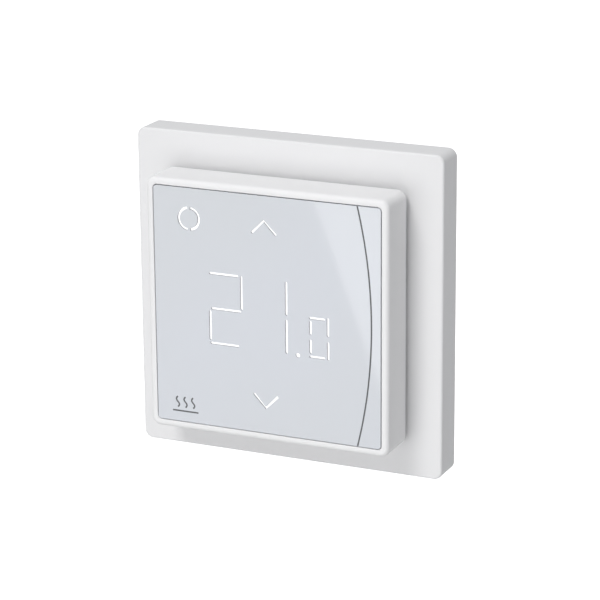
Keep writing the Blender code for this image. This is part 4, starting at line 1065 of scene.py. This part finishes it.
class THERMOSTAT_OT_connectors(bpy.types.Operator):
    """Makes the gold pins that join the base to the display, and the touch keys' springs."""

    bl_idname = "thermostat.connectors"
    bl_label = "Pins and Springs"

    def execute(self, context):
        box = extent("header_pins")
        rear, front = box[2:4]
        pitch, half, tip = 2.54 * MM, 0.31 * MM, 0.55 * MM
        sections = (rear, half * 0.6), (rear + tip, half), (front - tip, half), (front, half * 0.5)
        around = ((1, 1), (-1, 1), (-1, -1), (1, -1))
        squares = [(out, [(a * size, b * size) for a, b in around]) for out, size in sections]
        pin = made("pin", lambda bm: skin(bm, [flat_loop(bm, *square) for square in squares]))
        middle_x, _, middle_z = node_axis(box, 0)
        places = [(middle_x + x, 0, middle_z + z) for z in even_row(2, pitch) for x in even_row(4, pitch)]
        gold = metal("gold_pins", (0.94, 0.74, 0.36), 0.16, streak=(1, 5, 1), streak_scale=900)
        pins = repeated("gold_pin_rows", places, pin, gold)
        settle(pins, BASE_BODY, "brass")
        holder = refined("header_pins", "pin_holder", block_plastic(), 0.1 * MM)
        shorten_pins(holder)
        settle(holder, BASE_BODY, "dark_plastic", "header_pins")

        names = ("touch_spring_mode", "touch_spring_up", "touch_spring_down")
        boxes = [extent(name) for name in names]
        wire = 0.24 * MM
        springs = grown(
            "touch_springs",
            [node_axis(box, box[2] + wire) for box in boxes],
            coil_spring_tree(),
            **{
                "Rear Radius": 2.95 * MM,
                "Front Radius": 2.6 * MM,
                "Height": boxes[-1][3] - boxes[-1][2] - 2 * wire,
                "Turns": 4.5,
                "Wire Radius": wire,
                "Material": bright_steel(),
            },
        )
        smooth(springs, 50)
        settle(springs, DISPLAY_BODY, "zinc_steel", *names)
        return {"FINISHED"}


# The header's plastic strip lies between these two distances out.
STRIP_REAR = 0.0
STRIP_FRONT = 2.6 * MM


def shorten_pins(holder):
    """Leaves only the plastic strip of a header: everything that reaches past it is cut away."""
    bm = bmesh.new()
    bm.from_mesh(holder.data)
    for out, sign in ((STRIP_REAR, -1), (STRIP_FRONT, 1)):
        whole = bm.verts[:] + bm.edges[:] + bm.faces[:]
        cut = bmesh.ops.bisect_plane(
            bm, geom=whole, plane_co=(0, -out, 0), plane_no=(0, -sign, 0), clear_outer=True
        )
        edges = [item for item in cut["geom_cut"] if isinstance(item, bmesh.types.BMEdge)]
        bmesh.ops.holes_fill(bm, edges=edges)
    bm.to_mesh(holder.data)
    bm.free()


# ---- Inside parts ----
@made_once
def board_material(name):
    """Green solder mask over a copper pattern."""
    material, tree, shader = new_material(name)
    place = object_space(tree)
    tone = Vector(bpy.context.scene.thermostat_base.board_colour)
    upright = add(tree, "ShaderNodeMapping", {"Vector": place, "Rotation": (math.pi / 2, 0, 0)})
    pattern = {
        "Vector": upright.outputs["Vector"],
        "Scale": 160,
        "Mortar Size": 0.06,
        "Color1": (*tone, 1),
        "Color2": (*(tone * 1.35), 1),
        "Mortar": (*(tone * 0.55), 1),
    }
    tracks = add(tree, "ShaderNodeTexBrick", pattern).outputs
    inputs = {
        "Base Color": tracks["Color"],
        "Roughness": ranged(tree, noise(tree, place, 700), 0.22, 0.38),
        "Normal": relief(tree, tracks["Fac"], 0.03 * MM, 0.3),
    }
    feed(tree, shader, inputs)
    return material


@made_once
def wound_wire(name, tone, pitch, axis):
    """Enamelled wire wound in close turns round one axis, with painted shade in the grooves between the
    turns.
    """
    material, tree, shader = new_material(name)
    bands = {"Vector": object_space(tree), "Scale": WAVE_LENGTH / pitch, "Distortion": 0.4}
    turns = add(tree, "ShaderNodeTexWave", bands, bands_direction=axis).outputs["Fac"]
    inputs = {
        # Painted shade: the base colour falls to a third of the tone in the grooves between the turns.
        "Base Color": ramp(tree, turns, Vector(tone) * 0.35, tone),
        "Normal": relief(tree, turns, pitch / 3),
        "Metallic": 0.85,
        "Roughness": 0.3,
    }
    feed(tree, shader, inputs)
    return material


DIGIT_BLOCKS = ("digit_block_tens", "digit_block_units", "digit_block_tenths")
CHIPS = ("room_sensor", "controller_chip", "relay_base")

# nodes, material, tone, roughness, grain in millimetres, and where it isn't the usual, bump and variation
PART_PLASTICS = (
    (CHIPS, "component_black", (0.022, 0.022, 0.024), 0.45, 0.2, 0.08),
    (DIGIT_BLOCKS, "light_diffuser", (0.86, 0.86, 0.84), 0.55, 0.2),
    (("lens_tape",), "tape_foam", (0.03, 0.03, 0.03), 0.9, 0.35, 0.5, 0.2),
    (("light_mask",), "light_mask_black", (0.02, 0.02, 0.02), 0.6, 0.3, 0.1),
    (("backup_capacitor",), "cell_sleeve", (0.03, 0.08, 0.24), 0.26, 0.5),
    (("relay_case",), "relay_blue", (0.035, 0.10, 0.36), 0.36, 0.3),
    (("mains_capacitor",), "film_capacitor_yellow", (0.72, 0.50, 0.05), 0.33, 0.6),
    (("storage_capacitor",), "capacitor_sleeve", (0.03, 0.035, 0.06), 0.26, 0.5),
    (("varistor",), "varistor_lacquer", (0.04, 0.16, 0.42), 0.28, 1.2, 0.2),
    (("fuse",), "fuse_ceramic", (0.68, 0.66, 0.60), 0.4, 0.5),
)


def inner_finishes():
    """The material of every CAD node that keeps its own shape."""
    board = board_material("solder_mask_board")
    finishes = {
        "display_board": board,
        "power_board": board,
        "board_socket": block_plastic(),
        "radio_module": bright_steel(),
        "relay_coil": wound_wire("coil_winding", (0.72, 0.30, 0.14), 0.12 * MM, "X"),
        "relay_yoke": zinc(),
        "relay_armature": zinc(),
        "relay_contact_spring": copper_strip(),
        "relay_fixed_contact": copper_strip(),
        "power_inductor": wound_wire("choke_winding", (0.30, 0.12, 0.06), 0.3 * MM, "Y"),
    }
    for nodes, name, tone, roughness, grain, *more in PART_PLASTICS:
        material = moulded_plastic(name, tone, roughness, grain * MM, *more)
        finishes.update(dict.fromkeys(nodes, material))
    return finishes


class THERMOSTAT_OT_inner_parts(bpy.types.Operator):
    """Gives the boards and the parts on them their finishes."""

    bl_idname = "thermostat.inner_parts"
    bl_label = "Inner Parts"

    def execute(self, context):
        for name, material in inner_finishes().items():
            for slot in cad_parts[name].material_slots:
                slot.material = material
        return {"FINISHED"}


# ---- Stage ----
CARD_EDGE = (-0.5203, -1.25, -0.3567)
CARD_LEAN = 21
CARD_SIZE = 0.70
CARD_LIFT = 0.05
CARD_POWER = 3.4
BLEND_REACH = 0.3
FLOOR_HEIGHT = -0.90
FLOOR_HALF = 30

# name, place, width, height and power in watts
LIGHTS = (
    ("key", (-0.24, -1.42, 1.42), 0.65, 0.65, 14.8),
    ("low front", (0.35, -1.75, -0.66), 0.7, 0.5, 1.9),
    ("overhead", (0.0, 0.30, 1.55), 1.2, 0.9, 3.2),
    ("back", (-0.50, 1.60, -0.40), 1.9, 0.9, 9.0),
)


def area_light(name, place, width, height, power):
    """A soft box that faces the object and isn't itself in the picture."""
    light = bpy.data.lights.new(name, "AREA")
    light.shape = "RECTANGLE"
    light.size, light.size_y = width, height
    light.energy = power
    lamp = bpy.data.objects.new(name, light)
    bpy.context.scene.collection.objects.link(lamp)
    lamp.location = place
    lamp.rotation_mode = "QUATERNION"
    lamp.rotation_quaternion = (-Vector(place)).to_track_quat("-Z", "Y")
    lamp.visible_camera = False
    return lamp


def card_light():
    """A low card in front of the display. Its slanted left edge shows as a soft reflection in the lens."""
    lean = math.radians(CARD_LEAN)
    along = Vector((math.cos(lean), 0, math.sin(lean)))
    upward = Vector((-math.sin(lean), 0, math.cos(lean)))
    middle = Vector(CARD_EDGE) + along * (CARD_SIZE / 2) + upward * CARD_LIFT
    card = area_light("card", middle, CARD_SIZE, CARD_SIZE, CARD_POWER)
    axes = Matrix(((-along.x, upward.x, 0), (0, 0, -1), (-along.z, upward.z, 0)))
    card.matrix_world = Matrix.Translation(middle) @ axes.to_4x4()


def camera_axes(stage):
    """The camera's backward, right and up directions."""
    azimuth, elevation = stage.azimuth, stage.elevation
    back = Vector(
        (
            math.sin(azimuth) * math.cos(elevation),
            -math.cos(azimuth) * math.cos(elevation),
            math.sin(elevation),
        )
    )
    level = Vector((math.cos(azimuth), math.sin(azimuth), 0))
    upward = back.cross(level)
    right = math.cos(stage.roll) * level + math.sin(stage.roll) * upward
    return back, right, back.cross(right)


@made_once
def floor_material(name):
    """A pale paper floor that shows as an even white, and lights the object only as dull paper would."""
    material, tree, shader = new_material(name)
    inputs = {
        "Emission Strength": add(tree, "ShaderNodeLightPath").outputs["Is Camera Ray"],
        "Emission Color": (1, 1, 1, 1),
        "Base Color": (0.7, 0.7, 0.7, 1),
        "Roughness": 0.9,
    }
    feed(tree, shader, inputs)
    return material


def studio_camera(stage):
    """The camera, aimed a little off the origin and tilted."""
    back, right, upward = camera_axes(stage)
    data = bpy.data.cameras.new("camera")
    data.sensor_width = 36
    data.lens = stage.lens
    data.clip_start, data.clip_end = 0.01, 50
    camera = bpy.data.objects.new("camera", data)
    bpy.context.scene.collection.objects.link(camera)
    place = stage.distance * back - stage.aim_right * right - stage.aim_up * upward
    turn = Matrix((right, upward, back)).transposed().to_4x4()
    camera.matrix_world = Matrix.Translation(place) @ turn
    return camera


def studio_world(stage):
    """An even studio round the object, which the camera sees as plain white."""
    world = bpy.data.worlds.new("studio")
    world.use_nodes = True
    tree = world.node_tree
    tree.nodes.clear()
    sky = add(tree, "ShaderNodeTexCoord").outputs["Generated"]
    blend = {
        "Value": add(tree, "ShaderNodeSeparateXYZ", {"Vector": sky}).outputs["Y"],
        "From Min": -BLEND_REACH,
        "From Max": BLEND_REACH,
        "To Min": stage.front_fill,
        "To Max": stage.rear_fill,
    }
    strength = add(tree, "ShaderNodeMapRange", blend).outputs["Result"]
    fill = add(tree, "ShaderNodeBackground", {"Color": (0.97, 0.98, 1.0, 1), "Strength": strength})
    backdrop = add(tree, "ShaderNodeBackground", {"Color": (1, 1, 1, 1)})
    seen = add(tree, "ShaderNodeLightPath").outputs["Is Camera Ray"]
    mix = add(tree, "ShaderNodeMixShader", {0: seen, 1: fill.outputs[0], 2: backdrop.outputs[0]})
    add(tree, "ShaderNodeOutputWorld", {"Surface": mix.outputs[0]})
    return world


class THERMOSTAT_OT_stage(bpy.types.Operator):
    """Makes the camera, the pale floor and the soft lights."""

    bl_idname = "thermostat.stage"
    bl_label = "Stage"

    def execute(self, context):
        scene = context.scene
        stage = scene.thermostat_stage
        scene.camera = studio_camera(stage)
        scene.view_settings.view_transform = "Standard"
        scene.world = studio_world(stage)

        floor = made(
            "floor", lambda bm: bmesh.ops.create_grid(bm, x_segments=1, y_segments=1, size=FLOOR_HALF)
        )
        floor.location.z = FLOOR_HEIGHT
        paint(floor, floor_material("pale_floor"))

        for light in LIGHTS:
            area_light(*light)
        card_light()
        return {"FINISHED"}


# ---- Panel and registration ----
MAKERS = (
    THERMOSTAT_OT_design_frame,
    THERMOSTAT_OT_display_housing,
    THERMOSTAT_OT_display_window,
    THERMOSTAT_OT_lit_marks,
    THERMOSTAT_OT_rear_box,
    THERMOSTAT_OT_mounting_plate,
    THERMOSTAT_OT_inner_covers,
    THERMOSTAT_OT_base_screws,
    THERMOSTAT_OT_terminals,
    THERMOSTAT_OT_connectors,
    THERMOSTAT_OT_inner_parts,
    THERMOSTAT_OT_stage,
)


class THERMOSTAT_PT_pieces(bpy.types.Panel):
    """Lists the settings and the pieces in the sidebar."""

    bl_idname = "THERMOSTAT_PT_pieces"
    bl_label = "Wall Thermostat"
    bl_space_type = "VIEW_3D"
    bl_region_type = "UI"
    bl_category = "Thermostat"

    def draw(self, context):
        for group in (name for name, _ in SETTINGS):
            box = self.layout.box()
            values = getattr(context.scene, group)
            for name in values.__annotations__:
                box.prop(values, name)
        for maker in MAKERS:
            self.layout.operator(maker.bl_idname)


SETTINGS = (
    ("thermostat_shell", ShellSettings),
    ("thermostat_display", DisplaySettings),
    ("thermostat_base", BaseSettings),
    ("thermostat_stage", StageSettings),
)


def register():
    for name, group in SETTINGS:
        bpy.utils.register_class(group)
        setattr(bpy.types.Scene, name, bpy.props.PointerProperty(type=group))
    for maker in MAKERS:
        bpy.utils.register_class(maker)
    bpy.utils.register_class(THERMOSTAT_PT_pieces)


def unregister():
    bpy.utils.unregister_class(THERMOSTAT_PT_pieces)
    for maker in reversed(MAKERS):
        bpy.utils.unregister_class(maker)
    for name, group in reversed(SETTINGS):
        delattr(bpy.types.Scene, name)
        bpy.utils.unregister_class(group)


def main():
    register()
    for maker in MAKERS:
        group, action = maker.bl_idname.split(".")
        getattr(getattr(bpy.ops, group), action)()


if __name__ == "__main__":
    main()
